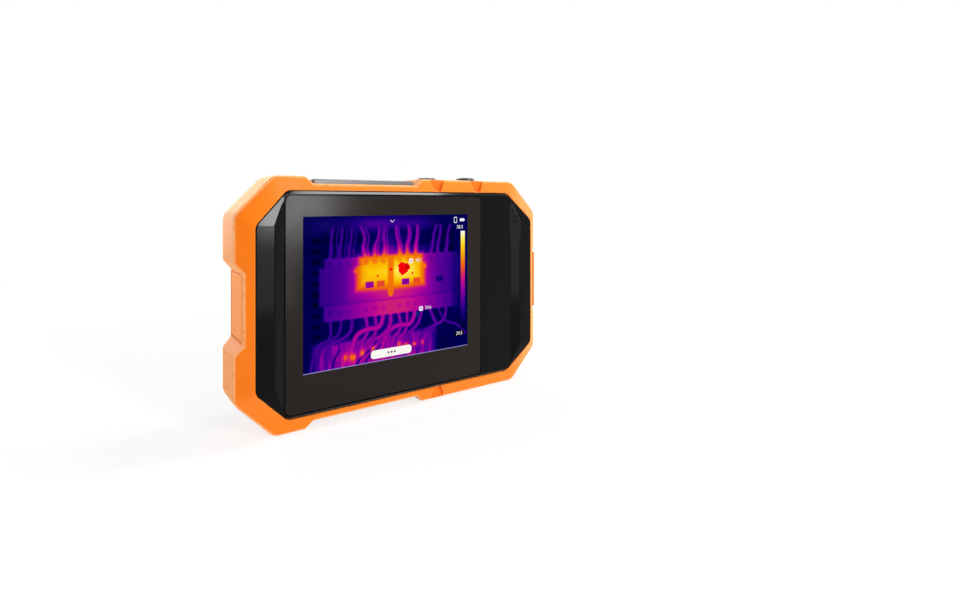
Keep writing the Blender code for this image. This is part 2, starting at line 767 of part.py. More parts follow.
def bumper_stations():
    """The bumper's outer corners, anticlockwise from the lower right: place, arc radius and side."""
    side = SIDE_NOTCH_OPEN / 2
    side_floor = SIDE_NOTCH_FLOOR / 2
    end_right = END_NOTCH_X + END_NOTCH_LENGTH / 2
    end_left = END_NOTCH_X - END_NOTCH_LENGTH / 2
    w = OUT_W
    h = OUT_H
    ramp = END_NOTCH_RAMP
    stations = [(w, -h + BUMPER_CUT, BUMPER_R, "corner")]
    for x, z in ((w, -side), (NOTCH_FLOOR_X, -side_floor), (NOTCH_FLOOR_X, side_floor), (w, side)):
        stations.append((x, z, NOTCH_R, "right"))
    stations.append((w, h - BUMPER_CUT, BUMPER_R, "corner"))
    stations.append((w - BUMPER_CUT, h, BUMPER_R, "corner"))
    floor = NOTCH_FLOOR_Z
    for x, z in ((end_right, h), (end_right - ramp, floor), (end_left + ramp, floor), (end_left, h)):
        stations.append((x, z, NOTCH_R, "top"))
    mirrored = [(-x, -z, r, {"right": "left", "top": "bottom"}.get(s, s)) for x, z, r, s in stations]
    # The bottom notch lies under the top one, so its corners swap ends
    first = mirrored[:7]
    last = [(x, -h if abs(z) == h else -floor, NOTCH_R, "bottom") for x, z in (
        (end_left, h), (end_left + ramp, floor), (end_right - ramp, floor), (end_right, h)
    )]
    stations.append((-w + BUMPER_CUT, h, BUMPER_R, "corner"))
    stations.append((-w, h - BUMPER_CUT, BUMPER_R, "corner"))
    stations.extend(first[1:5])
    stations.append((-w, -h + BUMPER_CUT, BUMPER_R, "corner"))
    stations.append((-w + BUMPER_CUT, -h, BUMPER_R, "corner"))
    stations.extend(last)
    stations.append((w - BUMPER_CUT, -h, BUMPER_R, "corner"))
    return stations


def bumper_points():
    """For each point round the bumper: the inner point, the outer point and its share of the way."""
    stations = bumper_stations()
    corners = shell_corners(SLIT)
    inner_arcs = [
        arc_at(corners[k - 1], corners[k], corners[(k + 1) % 8], CORNER_R, 2) for k in range(8)
    ]
    points = []
    used = 0
    count = len(stations)
    for k, (x, z, radius, side) in enumerate(stations):
        before = stations[k - 1][:2]
        after = stations[(k + 1) % count][:2]
        arc = arc_at(before, (x, z), after, radius, 2)
        for j, (px, pz) in enumerate(arc):
            if side == "corner":
                ix, iz = inner_arcs[used][j]
                share = 1.0
            elif side in ("left", "right"):
                ix = math.copysign(HALF_W + SLIT, px)
                iz = pz
                share = (abs(px) - abs(ix)) / (OUT_W - abs(ix))
            else:
                ix = px
                iz = math.copysign(HALF_H + SLIT, pz)
                share = (abs(pz) - abs(iz)) / (OUT_H - abs(iz))
            points.append((ix, iz, px, pz, share))
        if side == "corner":
            used += 1
    return points


def make_bumper():
    """Soft bumper: a ring whose front face slopes back from the housing's edge to its own rim."""
    front = []
    edge = []
    side = []
    tail = []
    heel = []
    inner = []
    for ix, iz, px, pz, share in bumper_points():
        start = face_depth(iz)
        lip = start + share * (BUMPER_LIP_Y - start)
        reach = math.hypot(px - ix, pz - iz)
        near = 1 - BUMPER_EDGE / reach
        far = 1 - BUMPER_BACK_EDGE / reach
        front.append((ix, start, iz))
        edge.append((ix + (px - ix) * near, start + (lip - start) * near, iz + (pz - iz) * near))
        side.append((px, lip + BUMPER_EDGE, pz))
        tail.append((px, BUMPER_BACK - BUMPER_BACK_EDGE, pz))
        heel.append((ix + (px - ix) * far, BUMPER_BACK, iz + (pz - iz) * far))
        inner.append((ix, BUMPER_BACK, iz))
    look = material("bumper_rubber", (0.9, 0.2, 0.012), 0.45)
    bumper = finish("bumper", carried([front, edge, side, tail, heel, inner]), look)
    trim = box(trim_length() + 2 * GAP, TRIM_D + 2 * GAP, (END_NOTCH_X, TRIM_Y + TRIM_D / 2))
    cut(bumper, finish("cut_trim_slot", slab(trim, HALF_H - PAST, OUT_H + PAST, "z")))
    for name, x in (("power", POWER_X), ("capture", CAPTURE_X)):
        hole = circle(BUTTON_R + GAP, BUTTON_STEPS, (x, BUTTON_Y))
        pocket = circle(BUTTON_R + FLANGE_OUT + GAP, BUTTON_STEPS, (x, BUTTON_Y))
        cut(
            bumper,
            finish(f"cut_{name}_hole", slab(hole, HALF_H - PAST, OUT_H + PAST, "z")),
            finish(f"cut_{name}_pocket", slab(pocket, HALF_H - PAST, flange_top() + GAP, "z")),
        )
    for name, x, sign in (("a", POWER_X, 1), ("b", CAPTURE_X, 1), ("c", POWER_X, -1)):
        cut(bumper, make_scoop(f"cut_scoop_{name}", x, sign))
    flap = soft_box(FLAP_L + 2 * SLIT, FLAP_H + 2 * SLIT, FLAP_R, (PORT_Y, 0.0), 2)
    floor = -NOTCH_FLOOR_X + FLAP_T + GAP
    port = soft_box(PORT_D, PORT_W, 1.5, (PORT_Y, 0.0), 3)
    cut(
        bumper,
        finish("cut_flap_seat", slab(flap, -OUT_W - PAST, floor, "x")),
        finish("cut_port_bumper", slab(port, floor - PAST, -HALF_W + PAST, "x")),
    )
    recess = soft_box(STRAP_D, STRAP_H, 1.5, (STRAP_LIP + STRAP_D / 2, 0.0), 3)
    deep = HALF_W + SLIT + STRAP_FLOOR
    cut(bumper, finish("cut_strap_recess", slab(recess, deep, OUT_W + PAST, "x")))
    bore = circle(INSERT_R + GAP, 24, (LENS_X, INSERT_Y))
    cut(bumper, finish("cut_bumper_insert", slab(bore, -OUT_H - PAST, -HALF_H + PAST, "z")))
    return bumper


def make_scoop(name, x, sign):
    """Helper for a trapezoid scoop in the bumper's front edge, narrow end towards the screen."""
    bm = bmesh.new()
    near = HALF_H + SLIT + SCOOP_EDGE
    far = OUT_H + SCOOP_PAST
    flat = BEVEL_D + SCOOP_LIP
    deep = BUMPER_LIP_Y + SCOOP_DEPTH
    for half, z, y in ((SCOOP_NECK / 2, near, flat), (SCOOP_W / 2, far, deep)):
        for side in (-1, 1):
            bm.verts.new((x + side * half, y, sign * z))
            bm.verts.new((x + side * (half + SCOOP_DRAFT), y - SCOOP_REACH, sign * z))
    bmesh.ops.convex_hull(bm, input=bm.verts)
    return finish(name, bm)


def trim_length():
    """Length of the trim panel at the floor of the top notch."""
    return END_NOTCH_LENGTH - 2 * END_NOTCH_RAMP - 2 * TRIM_INSET


def make_trim():
    """Dark panel in the top notch, resting on the housings, its ends sloping like the notch."""
    look = material("trim_plastic", (0.06, 0.06, 0.062), 0.4)
    half = trim_length() / 2
    top = NOTCH_FLOOR_Z + TRIM_PROUD
    low = HALF_H + GAP
    x = END_NOTCH_X
    outline = [
        (x - half, low), (x + half, low), (x + half, top - TRIM_EDGE),
        (x + half - TRIM_EDGE, top), (x - half + TRIM_EDGE, top), (x - half, top - TRIM_EDGE),
    ]
    finish("top_trim", slab(outline, TRIM_Y, TRIM_Y + TRIM_D), look)


def flange_top():
    """Height of the top of a button's flange at rest."""
    return HALF_H + GAP + TRAVEL + FLANGE_T


def key_board_z():
    """Height of the underside of the key board, found from the stems downwards."""
    plunger_top = HALF_H - WALL - 2 * GAP
    return plunger_top - PLUNGER_L + PLUNGER_SINK - SWITCH_H - GAP - KEY_BOARD_T


def key_board_length():
    """The key board reaches past both switches."""
    return CAPTURE_X - POWER_X + SWITCH_W + 2 * KEY_BOARD_END


def make_button(name, x, proud, colour):
    """One top button with its flange and stem, its plunger and its switch."""
    top = OUT_H + proud
    seat = flange_top()
    stem_end = HALF_H - WALL - GAP
    at = (x, BUTTON_Y, seat)
    cap = slab(circle(BUTTON_R, BUTTON_STEPS), -SLIT, top - seat, "z")
    crown = [v for v in cap.verts if v.co.z > 0]
    bmesh.ops.bevel(
        cap,
        geom=[e for e in cap.edges if all(v in crown for v in e.verts)],
        offset=BUTTON_EDGE,
        segments=2,
        profile=0.5,
        affect="EDGES",
    )
    button = finish(f"{name}_button", cap, material(f"{name}_button_plastic", colour, 0.45), at)
    flange = slab(circle(BUTTON_R + FLANGE_OUT, BUTTON_STEPS), -FLANGE_T, 0.0, "z")
    stem = slab(circle(STEM_R, 16), stem_end - seat, -FLANGE_T + SLIT, "z")
    join(button, finish(f"add_{name}_flange", flange, None, at))
    join(button, finish(f"add_{name}_stem", stem, None, at))
    look = material(f"{name}_plunger_plastic", (0.75, 0.73, 0.68), 0.5)
    rod = slab(circle(PLUNGER_R, 16), -PLUNGER_L, 0.0, "z")
    finish(f"{name}_plunger", rod, look, (x, BUTTON_Y, stem_end - GAP))
    low = key_board_z() + KEY_BOARD_T + GAP
    look = material(f"{name}_switch_body", (0.08, 0.08, 0.085), 0.5)
    outline = box(SWITCH_W, SWITCH_W, (x, BUTTON_Y))
    switch = finish(f"{name}_switch", slab(outline, low, low + SWITCH_H, "z"), look)
    well = circle(PLUNGER_R + GAP, 16, (x, BUTTON_Y))
    floor = stem_end - GAP - PLUNGER_L - TRAVEL - GAP
    cut(switch, finish(f"cut_{name}_well", slab(well, floor, low + SWITCH_H + PAST, "z")))


def make_keys():
    """Both buttons and the board that carries their switches."""
    make_button("power", POWER_X, POWER_PROUD, (0.05, 0.05, 0.053))
    make_button("capture", CAPTURE_X, CAPTURE_PROUD, (0.06, 0.06, 0.063))
    look = material("key_board_green", (0.02, 0.12, 0.06), 0.5)
    middle = (POWER_X + CAPTURE_X) / 2
    deep = INNER_BACK - GAP - (BUTTON_Y - SWITCH_W / 2)
    outline = box(key_board_length(), deep, (middle, BUTTON_Y - SWITCH_W / 2 + deep / 2))
    low = key_board_z()
    finish("key_board", slab(outline, low, low + KEY_BOARD_T, "z"), look)


def make_flap():
    """Port flap with its inner plug; its origin lies on the hinge line along its front edge."""
    at = (-NOTCH_FLOOR_X, PORT_Y - FLAP_L / 2, 0.0)
    look = material("flap_rubber", (0.88, 0.19, 0.012), 0.5)
    outline = soft_box(FLAP_L, FLAP_H, FLAP_R, (FLAP_L / 2, 0.0), 2)
    flap = finish("port_flap", slab(outline, 0.0, FLAP_T, "x"), look, at)
    plug_d = PORT_D - 2 * PLUG_EDGE
    plug_w = PORT_W - 2 * PLUG_EDGE
    plug = soft_box(plug_d, plug_w, PLUG_R, (FLAP_L / 2, 0.0), 2)
    join(flap, finish("add_plug", slab(plug, FLAP_T - BITE, FLAP_T + PLUG_T, "x"), None, at))


def make_usb():
    """USB-C socket on the main board: a hollow shell with a tongue."""
    look = material("usb_steel", (0.6, 0.6, 0.62), 0.3, 1.0)
    mouth = -HALF_W + WALL + USB_INSET
    outline = soft_box(USB_H, USB_W, USB_H / 2 - 0.1, (PORT_Y, 0.0), 4)
    socket = finish("usb_c_socket", slab(outline, mouth, mouth + USB_L, "x"), look)
    slim = 2 * USB_WALL
    back = mouth + USB_L - USB_BACK
    hole = soft_box(USB_H - slim, USB_W - slim, USB_H / 2 - 0.1 - USB_WALL, (PORT_Y, 0.0), 4)
    cut(socket, finish("cut_usb", slab(hole, mouth - PAST, back, "x")))
    tongue = box(TONGUE_T, USB_W - 2 * TONGUE_EDGE, (PORT_Y, 0.0))
    join(socket, finish("add_tongue", slab(tongue, mouth + TONGUE_IN, back + BITE, "x")))


def make_strap_bar():
    """Bar across the right notch for a strap: two feet on the notch's floor, ends along its ramps."""
    look = material("bar_plastic", (0.8, 0.2, 0.03), 0.5)
    low = NOTCH_FLOOR_X + GAP
    under = OUT_W - BAR_T
    foot = SIDE_NOTCH_FLOOR / 2 - GAP
    tip = foot + BAR_OVER
    ramp = (SIDE_NOTCH_OPEN - SIDE_NOTCH_FLOOR) / 2 / SIDE_NOTCH
    shoulder = low + BAR_OVER / ramp
    half = [
        (OUT_W, tip - BAR_EDGE), (OUT_W - BAR_EDGE, tip), (shoulder, tip), (low, foot),
        (low, foot - BAR_FOOT), (under, foot - BAR_FOOT),
    ]
    outline = half + [(x, -z) for x, z in reversed(half)]
    finish("strap_bar", slab(outline, BAR_Y, BAR_Y + BAR_D), look)


def make_tripod_insert():
    """Brass thread insert for a tripod screw, in the boss of the rear housing."""
    look = material("insert_brass", (0.78, 0.57, 0.22), 0.3, 1.0)
    low = -NOTCH_FLOOR_Z + GAP
    outline = circle(INSERT_R, 24, (LENS_X, INSERT_Y))
    insert = finish("tripod_insert", slab(outline, low, low + INSERT_L, "z"), look)
    bore = circle(INSERT_BORE_R, 20, (LENS_X, INSERT_Y))
    cut(insert, finish("cut_thread", slab(bore, low - PAST, low + INSERT_L - INSERT_END, "z")))


def lens_profile(radius, low, edge, thick):
    """Flat below and domed above: the dome falls off with the square of the radius."""
    dome = [
        (radius * share, low + thick - (thick - edge) * share**2)
        for share in (1.0, 0.75, 0.5, 0.25)
    ]
    return [(0, low), (radius, low), *dome, (0, low + thick)]


def make_lens():
    """Lens barrel with two germanium lenses, and the bezel around its end."""
    centre = (LENS_X, LENS_Z)
    low = BARREL_Y
    top = BEZEL_Y + BEZEL_T
    end = top - BARREL_SINK
    wide = BARREL_R - BARREL_WALL
    middle = wide - BARREL_STEP
    narrow = middle - BARREL_LEDGE
    rear_seat = low + REAR_SEAT
    front_seat = rear_seat + GAP + REAR_LENS_T + LENS_SPACE
    look = material("barrel_black", (0.03, 0.03, 0.032), 0.35, 0.6)
    flange = BARREL_R + BARREL_FLANGE
    flange_end = low + BARREL_FLANGE_T
    profile = [
        (narrow, low), (flange, low), (flange, flange_end), (BARREL_R, flange_end),
        (BARREL_R, end), (wide, end), (wide, front_seat), (middle, front_seat),
        (middle, rear_seat), (narrow, rear_seat),
    ]
    finish("lens_barrel", turned(profile, centre, 32, True), look)
    look = material("germanium_inner", (0.20, 0.20, 0.22), 0.15, 0.9)
    profile = lens_profile(middle - GAP, rear_seat + GAP, REAR_LENS_EDGE, REAR_LENS_T)
    finish("rear_lens", turned(profile, centre, 28), look)
    look = material("germanium_outer", (0.22, 0.20, 0.24), 0.12, 0.9)
    profile = lens_profile(wide - GAP, front_seat + GAP, FRONT_LENS_EDGE, FRONT_LENS_T)
    finish("front_lens", turned(profile, centre, 28), look)
    look = material("bezel_black", (0.035, 0.035, 0.037), 0.3)
    r = BARREL_R + GAP
    out = r + BEZEL_W
    profile = [
        (r, BEZEL_Y), (out, BEZEL_Y), (out, top - BEZEL_EDGE), (out - BEZEL_EDGE, top),
        (r + BEZEL_EDGE, top), (r, top - BEZEL_LIP),
    ]
    finish("lens_bezel", turned(profile, centre, 36, True), look)


def make_optics_cover():
    """Raised plate around the optics on the back."""
    look = material("optics_plastic", (0.015, 0.015, 0.016), 0.2)
    middle = (CAMERA_X + TORCH_X) / 2
    outline = soft_box(COVER_W, COVER_H, COVER_R, (middle, LENS_Z), 5)
    cover = finish("optics_cover", slab(outline, COVER_Y, COVER_Y + COVER_T), look)
    low = COVER_Y - PAST
    high = COVER_Y + COVER_T + PAST
    cut(
        cover,
        post("cut_cover_lens", LENS_X, LENS_Z, BARREL_R + GAP, low, high, 32),
        post("cut_cover_camera", CAMERA_X, LENS_Z, WINDOW_R + GAP, low, high, 24),
        post("cut_cover_torch", TORCH_X, LENS_Z, WINDOW_R + GAP, low, high, 24),
    )


def make_core():
    """Sensor core: base, detector, shutter blade on its pin, and the blade's actuator."""
    look = material("core_metal", (0.35, 0.36, 0.38), 0.45, 1.0)
    top = DECK_Y + CORE_T
    pivot = (LENS_X, LENS_Z - ARM_L)
    drop = ARM_L + HUB_R + CORE_EDGE
    outline = box(CORE_W, CORE_W / 2 + drop, (LENS_X, LENS_Z + (CORE_W / 2 - drop) / 2))
    base = finish("core_base", slab(outline, DECK_Y, top), look)
    for k, (sx, sz) in enumerate(((-1, -1), (-1, 1), (1, 1))):
        pole = box(POLE_W, POLE_W, (LENS_X + sx * POLE_OUT, LENS_Z + sz * POLE_OUT))
        join(base, finish(f"add_pole_{k}", slab(pole, top - BITE, BARREL_Y - GAP)))
    well = DETECTOR_W + 2 * GAP
    floor = DECK_Y + CORE_FLOOR
    hole = box(well, well, (LENS_X, LENS_Z))
    cut(base, finish("cut_well", slab(hole, floor, BARREL_Y + PAST)))
    cut(base, post("cut_pin_hole", *pivot, PIN_R + SLIT, floor + GAP, top + PAST, 12))
    look = material("detector_ceramic", (0.30, 0.28, 0.25), 0.5)
    outline = box(DETECTOR_W, DETECTOR_W, (LENS_X, LENS_Z))
    finish("detector_package", slab(outline, floor + GAP, floor + GAP + DETECTOR_T), look)
    look = material("pin_steel", (0.7, 0.7, 0.72), 0.25, 1.0)
    finish("shutter_pin", slab(circle(PIN_R, 12, pivot), floor + 2 * GAP, BARREL_Y - GAP), look)
    look = material("shutter_blade_black", (0.02, 0.02, 0.02), 0.6)
    at = (pivot[0], top + GAP, pivot[1])
    blade = finish("shutter_blade", slab(blade_outline(), 0.0, BLADE_T), look, at)
    eye = finish("cut_eye", slab(circle(PIN_R + SLIT, 12), -PAST, BLADE_T + PAST), None, at)
    cut(blade, eye)
    look = material("actuator_case", (0.5, 0.42, 0.30), 0.4, 0.5)
    beside = LENS_X - CORE_W / 2 - GAP - ACTUATOR_W / 2
    outline = box(ACTUATOR_W, ACTUATOR_H, (beside, pivot[1]))
    finish("shutter_actuator", slab(outline, DECK_Y, DECK_Y + ACTUATOR_T), look)


def blade_outline():
    """A hub and a disc joined by their tangents, turned aside by the park angle from straight up."""
    lean = math.asin((BLADE_R - HUB_R) / ARM_L)
    half = math.pi / 2 + lean
    points = []
    for centre, radius, first, span in (
        (ARM_L, BLADE_R, -half, 2 * half),
        (0.0, HUB_R, half, 2 * math.pi - 2 * half),
    ):
        for k in range(11):
            angle = first + span * k / 10
            points.append((centre + radius * math.cos(angle), radius * math.sin(angle)))
    way = math.pi / 2 - math.radians(PARK_ANGLE)
    cos = math.cos(way)
    sin = math.sin(way)
    return [(u * cos - v * sin, u * sin + v * cos) for u, v in points]


def make_camera_and_torch():
    """Visible-light camera behind its window, and torch LED behind its lens."""
    look = material("camera_module", (0.05, 0.05, 0.055), 0.5)
    outline = box(CAMERA_W, CAMERA_W, (CAMERA_X, LENS_Z))
    shoulder = INNER_BACK - GAP
    module = finish("visible_camera", slab(outline, DECK_Y, shoulder), look)
    end = BODY_DEPTH - SLIT
    tube = post("add_camera_tube", CAMERA_X, LENS_Z, CAMERA_R, shoulder - BITE, end, 24)
    join(module, tube)
    look = material("camera_window", (0.03, 0.03, 0.04), 0.05)
    outline = circle(WINDOW_R, 24, (CAMERA_X, LENS_Z))
    finish("visible_window", slab(outline, COVER_Y, COVER_Y + COVER_T - SLIT), look)
    look = material("torch_board", (0.8, 0.8, 0.76), 0.5)
    outline = box(TORCH_W, TORCH_W, (TORCH_X, LENS_Z))
    finish("torch_led", slab(outline, shoulder - TORCH_T, shoulder), look)
    look = material("torch_clear", (0.85, 0.87, 0.9), 0.1)
    top = COVER_Y + COVER_T
    profile = [
        (0, INNER_BACK), (TORCH_R, INNER_BACK), (TORCH_R, COVER_Y), (WINDOW_R, COVER_Y),
        (WINDOW_R, top - SLIT), (WINDOW_R * 0.7, top + TORCH_DOME / 2), (0, top + TORCH_DOME),
    ]
    finish("torch_lens", turned(profile, (TORCH_X, LENS_Z), 24), look)


make_glass()
make_boards(make_display())
make_front_housing()
make_seal()
make_rear_housing()
make_housing_screws()
make_battery_and_speaker()
make_bumper()
make_trim()
make_keys()
make_flap()
make_usb()
make_strap_bar()
make_tripod_insert()
make_core()
make_lens()
make_optics_cover()
make_camera_and_torch()
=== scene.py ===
# %% [markdown]
# # A pocket thermal camera
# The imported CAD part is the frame: it holds every piece at its real size and in its real place.
# This lesson dresses that frame. What can be seen gets a finer surface, worked out with numpy, and a
# finish made of shader nodes. What is shut inside keeps its CAD mesh and gets a finish only.

# %% Load the frame
import json
import math

import bmesh
import bpy
import numpy as np
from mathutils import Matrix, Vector

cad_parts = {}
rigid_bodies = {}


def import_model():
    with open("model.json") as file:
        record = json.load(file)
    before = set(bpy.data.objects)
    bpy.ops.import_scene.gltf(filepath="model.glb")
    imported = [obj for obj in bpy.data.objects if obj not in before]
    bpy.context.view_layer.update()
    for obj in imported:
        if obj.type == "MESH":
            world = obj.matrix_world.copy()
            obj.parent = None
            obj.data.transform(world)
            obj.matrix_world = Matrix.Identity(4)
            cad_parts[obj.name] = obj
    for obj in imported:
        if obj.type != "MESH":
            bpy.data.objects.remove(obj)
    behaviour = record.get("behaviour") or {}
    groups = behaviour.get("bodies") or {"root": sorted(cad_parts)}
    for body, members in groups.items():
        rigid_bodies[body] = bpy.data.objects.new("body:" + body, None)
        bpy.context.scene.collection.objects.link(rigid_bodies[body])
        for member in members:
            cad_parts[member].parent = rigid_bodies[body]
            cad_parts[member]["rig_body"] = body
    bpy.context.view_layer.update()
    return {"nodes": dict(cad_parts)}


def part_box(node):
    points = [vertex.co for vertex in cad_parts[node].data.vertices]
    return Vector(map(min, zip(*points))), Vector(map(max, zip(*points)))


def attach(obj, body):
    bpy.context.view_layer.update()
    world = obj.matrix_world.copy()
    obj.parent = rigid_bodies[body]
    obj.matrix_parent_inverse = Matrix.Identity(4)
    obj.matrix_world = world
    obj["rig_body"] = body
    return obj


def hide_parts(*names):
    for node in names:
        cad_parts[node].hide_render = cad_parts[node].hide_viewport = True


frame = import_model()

# %% [markdown]
# A maker thinks of this camera in millimetres from the middle of its face: x to the right, y the depth
# behind the cover glass, z upwards. The frame is in metres and stands on the ground. The box of the
# cover glass tells how the two fit together, so nothing has to be fitted by eye.

# %% Millimetres of the body and metres of the frame
MM = 0.001
glass_low, glass_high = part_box("touch_glass")
BODY_ORIGIN = np.array((0.0, glass_low.y, (glass_low.z + glass_high.z) / 2))


def metres(points):
    """Body millimetres to frame metres: a thousandth of each, plus the place of the body's origin."""
    return np.asarray(points, float) * MM + BODY_ORIGIN


def span(node):
    """Lowest and highest corner of a CAD node in body millimetres."""
    return [(np.array(corner) - BODY_ORIGIN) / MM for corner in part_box(node)]


def extent(axis, node):
    """Lowest and highest place of a CAD node along the axis x, y or z."""
    return [corner["xyz".index(axis)] for corner in span(node)]


def seen_along(axis, node):
    """Middle and size of a CAD node seen along an axis: the two other numbers of each."""
    low, high = span(node)
    others = [k for k in range(3) if k != "xyz".index(axis)]
    return (low + high)[others] / 2, (high - low)[others]


HALF_W, SPLIT_Y, HALF_H = span("front_housing")[1]
OUT_W, BUMPER_BACK, OUT_H = span("bumper")[1]
RISE = -extent("y", "front_housing")[0]
print(f"housing {2 * HALF_W:.1f} x {2 * HALF_H:.1f} mm, bumper {2 * OUT_W:.1f} x {2 * OUT_H:.1f} mm")

# %% [markdown]
# The camera comes first, because every later look is judged through it. The straight edges of the
# screen in the photograph give its focal length, its aim and its place in front of the body. The
# picture's middle isn't where the lens points, so the sensor is shifted instead of the camera turned.

# %% Camera at the photograph's angle
PHOTO_W = 960
PHOTO_H = 600
FOCAL_PIXELS = 509.0
AIM_PIXEL = (387.0, 202.7)
EYE = (-107.775, -161.2, 34.15)
EYE_TURN = -30.9
SENSOR_MM = 36.0

lens = bpy.data.cameras.new("photo_camera")
lens.sensor_width = SENSOR_MM
lens.lens = FOCAL_PIXELS * SENSOR_MM / PHOTO_W
lens.shift_x = (PHOTO_W / 2 - AIM_PIXEL[0]) / PHOTO_W
lens.shift_y = (AIM_PIXEL[1] - PHOTO_H / 2) / PHOTO_W
lens.clip_start = MM
viewer = bpy.data.objects.new("photo_camera", lens)
viewer.location = metres(EYE)
viewer.rotation_euler = (math.pi / 2, 0.0, math.radians(EYE_TURN))
bpy.context.scene.collection.objects.link(viewer)
bpy.context.scene.camera = viewer
bpy.context.scene.view_settings.view_transform = "Standard"
print(f"lens {lens.lens:.1f} mm, eye {np.round(viewer.location, 3).tolist()}")

# %% [markdown]
# Nearly every outline on a moulded product is a polygon with round corners. A quadratic curve between
# the two touching points of a corner, pulled towards the corner itself, is close to an arc and can be
# worked out for all the corners at once. The same curve rounds the edges of a profile in space.

# %% Outlines with round corners
SIDE_SHARE = 0.45


def curve(start, corner, end, t):
    """The quadratic curve (1-t)^2 start + 2t(1-t) corner + t^2 end."""
    return (1 - t) ** 2 * start + 2 * t * (1 - t) * corner + t**2 * end


def rounded(corners, radius, steps):
    """Round each corner of an outline; the result has one row of points for each corner.

    A touching point lies radius / tan(half the corner's angle) from it, at most SIDE_SHARE of a side.
    """
    c = np.asarray(corners, float)
    sides = [np.roll(c, 1, axis=0) - c, np.roll(c, -1, axis=0) - c]
    lengths = [np.linalg.norm(side, axis=1) for side in sides]
    cosine = (sides[0] * sides[1]).sum(1) / (lengths[0] * lengths[1])
    reach = radius / np.tan(np.arccos(np.clip(cosine, -1, 1)) / 2)
    ends = [c + s * np.minimum(reach / n, SIDE_SHARE)[:, None] for s, n in zip(sides, lengths)]
    t = np.linspace(0, 1, steps + 1)[None, :, None]
    return curve(ends[0][:, None], c[:, None], ends[1][:, None], t)


def soft_box(size_a, size_b, radius, at=(0.0, 0.0), steps=6):
    """A rectangle with round corners as one loop of points."""
    corners = np.array([(-1, -1), (1, -1), (1, 1), (-1, 1)]) * (size_a / 2, size_b / 2) + at
    return rounded(corners, radius, steps).reshape(-1, 2)


def circle(radius, at=(0.0, 0.0), steps=64):
    """Points at equal angles around `at`."""
    turn = np.linspace(0, 2 * np.pi, steps, endpoint=False)
    return np.stack([at[0] + radius * np.cos(turn), at[1] + radius * np.sin(turn)], -1)


def soft_profile(corners, edges, steps, closed=False):
    """Round the corners of many polylines at once: corners (m, k, 3), one edge length for each of the k.

    Each corner gives way to the curve between points `edge` before and after it, at most SIDE_SHARE of
    a side. A corner with no edge length stays sharp, and so do the two ends of an open polyline.
    """
    c = np.asarray(corners, float)
    rows = []
    for k, edge in enumerate(edges):
        if edge == 0 or (not closed and k in (0, len(edges) - 1)):
            rows.append(c[:, k : k + 1])
            continue
        ends = []
        for other in (c[:, k - 1], c[:, (k + 1) % len(edges)]):
            side = other - c[:, k]
            length = np.linalg.norm(side, axis=1, keepdims=True)
            ends.append(c[:, k] + side * np.minimum(edge / np.maximum(length, 1e-9), SIDE_SHARE))
        t = np.linspace(0, 1, steps + 1)[None, :, None]
        rows.append(curve(ends[0][:, None], c[:, k : k + 1], ends[1][:, None], t))
    return np.concatenate(rows, axis=1)


print("points of a soft box:", soft_box(10, 6, 1).shape)

# %% [markdown]
# A surface becomes a mesh in one step: its points as one array, its faces as rows of point numbers.
# A loft joins loops that have equal numbers of points, like the ribs of a hull. Doubles are merged
# and the normals turned outwards once the shell is closed.

# %% Meshes from arrays
def grid_faces(rows, columns, wrap_rows=False, wrap_columns=False):
    """Quads of a grid whose point (r, c) has the number r * columns + c."""
    r, c = np.meshgrid(
        np.arange(rows - (not wrap_rows)), np.arange(columns - (not wrap_columns)), indexing="ij"
    )
    far_r, far_c = (r + 1) % rows, (c + 1) % columns
    corners = [r * columns + c, r * columns + far_c, far_r * columns + far_c, far_r * columns + c]
    return np.stack(corners, -1).reshape(-1, 4)


def new_piece(name, points, faces, weld=0.001):
    """An object at the origin from points in body millimetres; a closed shell ends up facing outwards."""
    mesh = bpy.data.meshes.new(name)
    mesh.from_pydata(metres(points).tolist(), [], [np.asarray(face).tolist() for face in faces])
    bm = bmesh.new()
    bm.from_mesh(mesh)
    bmesh.ops.remove_doubles(bm, verts=bm.verts, dist=weld * MM)
    bmesh.ops.recalc_face_normals(bm, faces=bm.faces)
    bm.to_mesh(mesh)
    bm.free()
    piece = bpy.data.objects.new(name, mesh)
    bpy.context.scene.collection.objects.link(piece)
    return piece


def loft(name, loops, ends="cap"):
    """Loops (m, n, 3) joined one to the next.

    With cap each end gets a face, with ring the last loop meets the first, with pole the ends merge.
    """
    loops = np.asarray(loops, float)
    m, n = loops.shape[:2]
    faces = list(grid_faces(m, n, ends == "ring", True))
    if ends == "cap":
        faces += [np.arange(n)[::-1], np.arange(n) + (m - 1) * n]
    return new_piece(name, loops.reshape(-1, 3), faces)


print("quads of a 3 x 4 grid:", len(grid_faces(3, 4)))

# %% [markdown]
# Most solids here are an outline pushed along an axis or a profile turned about one. What a mould's core
# leaves open is cut out with Blender's Boolean, which is applied at once, so the finished piece is one
# plain mesh.

# %% Solids from outlines
def along(axis, outline, depth):
    """A flat outline (n, 2) set at a depth along the axis x, y or z, as points (n, 3)."""
    return np.insert(outline, "xyz".index(axis), depth, axis=1)


def prism(name, axis, outline, low, high):
    """An outline pushed along an axis: two copies of the loop, capped."""
    return loft(name, [along(axis, outline, low), along(axis, outline, high)])


def turned(name, axis, profile, centre, steps=64, ends="pole"):
    """A profile of (radius, depth) turned about an axis: centre + radius * (cos, sin) at each depth."""
    loops = [along(axis, np.asarray(centre) + r * circle(1.0, steps=steps), d) for r, d in profile]
    return loft(name, loops, ends)


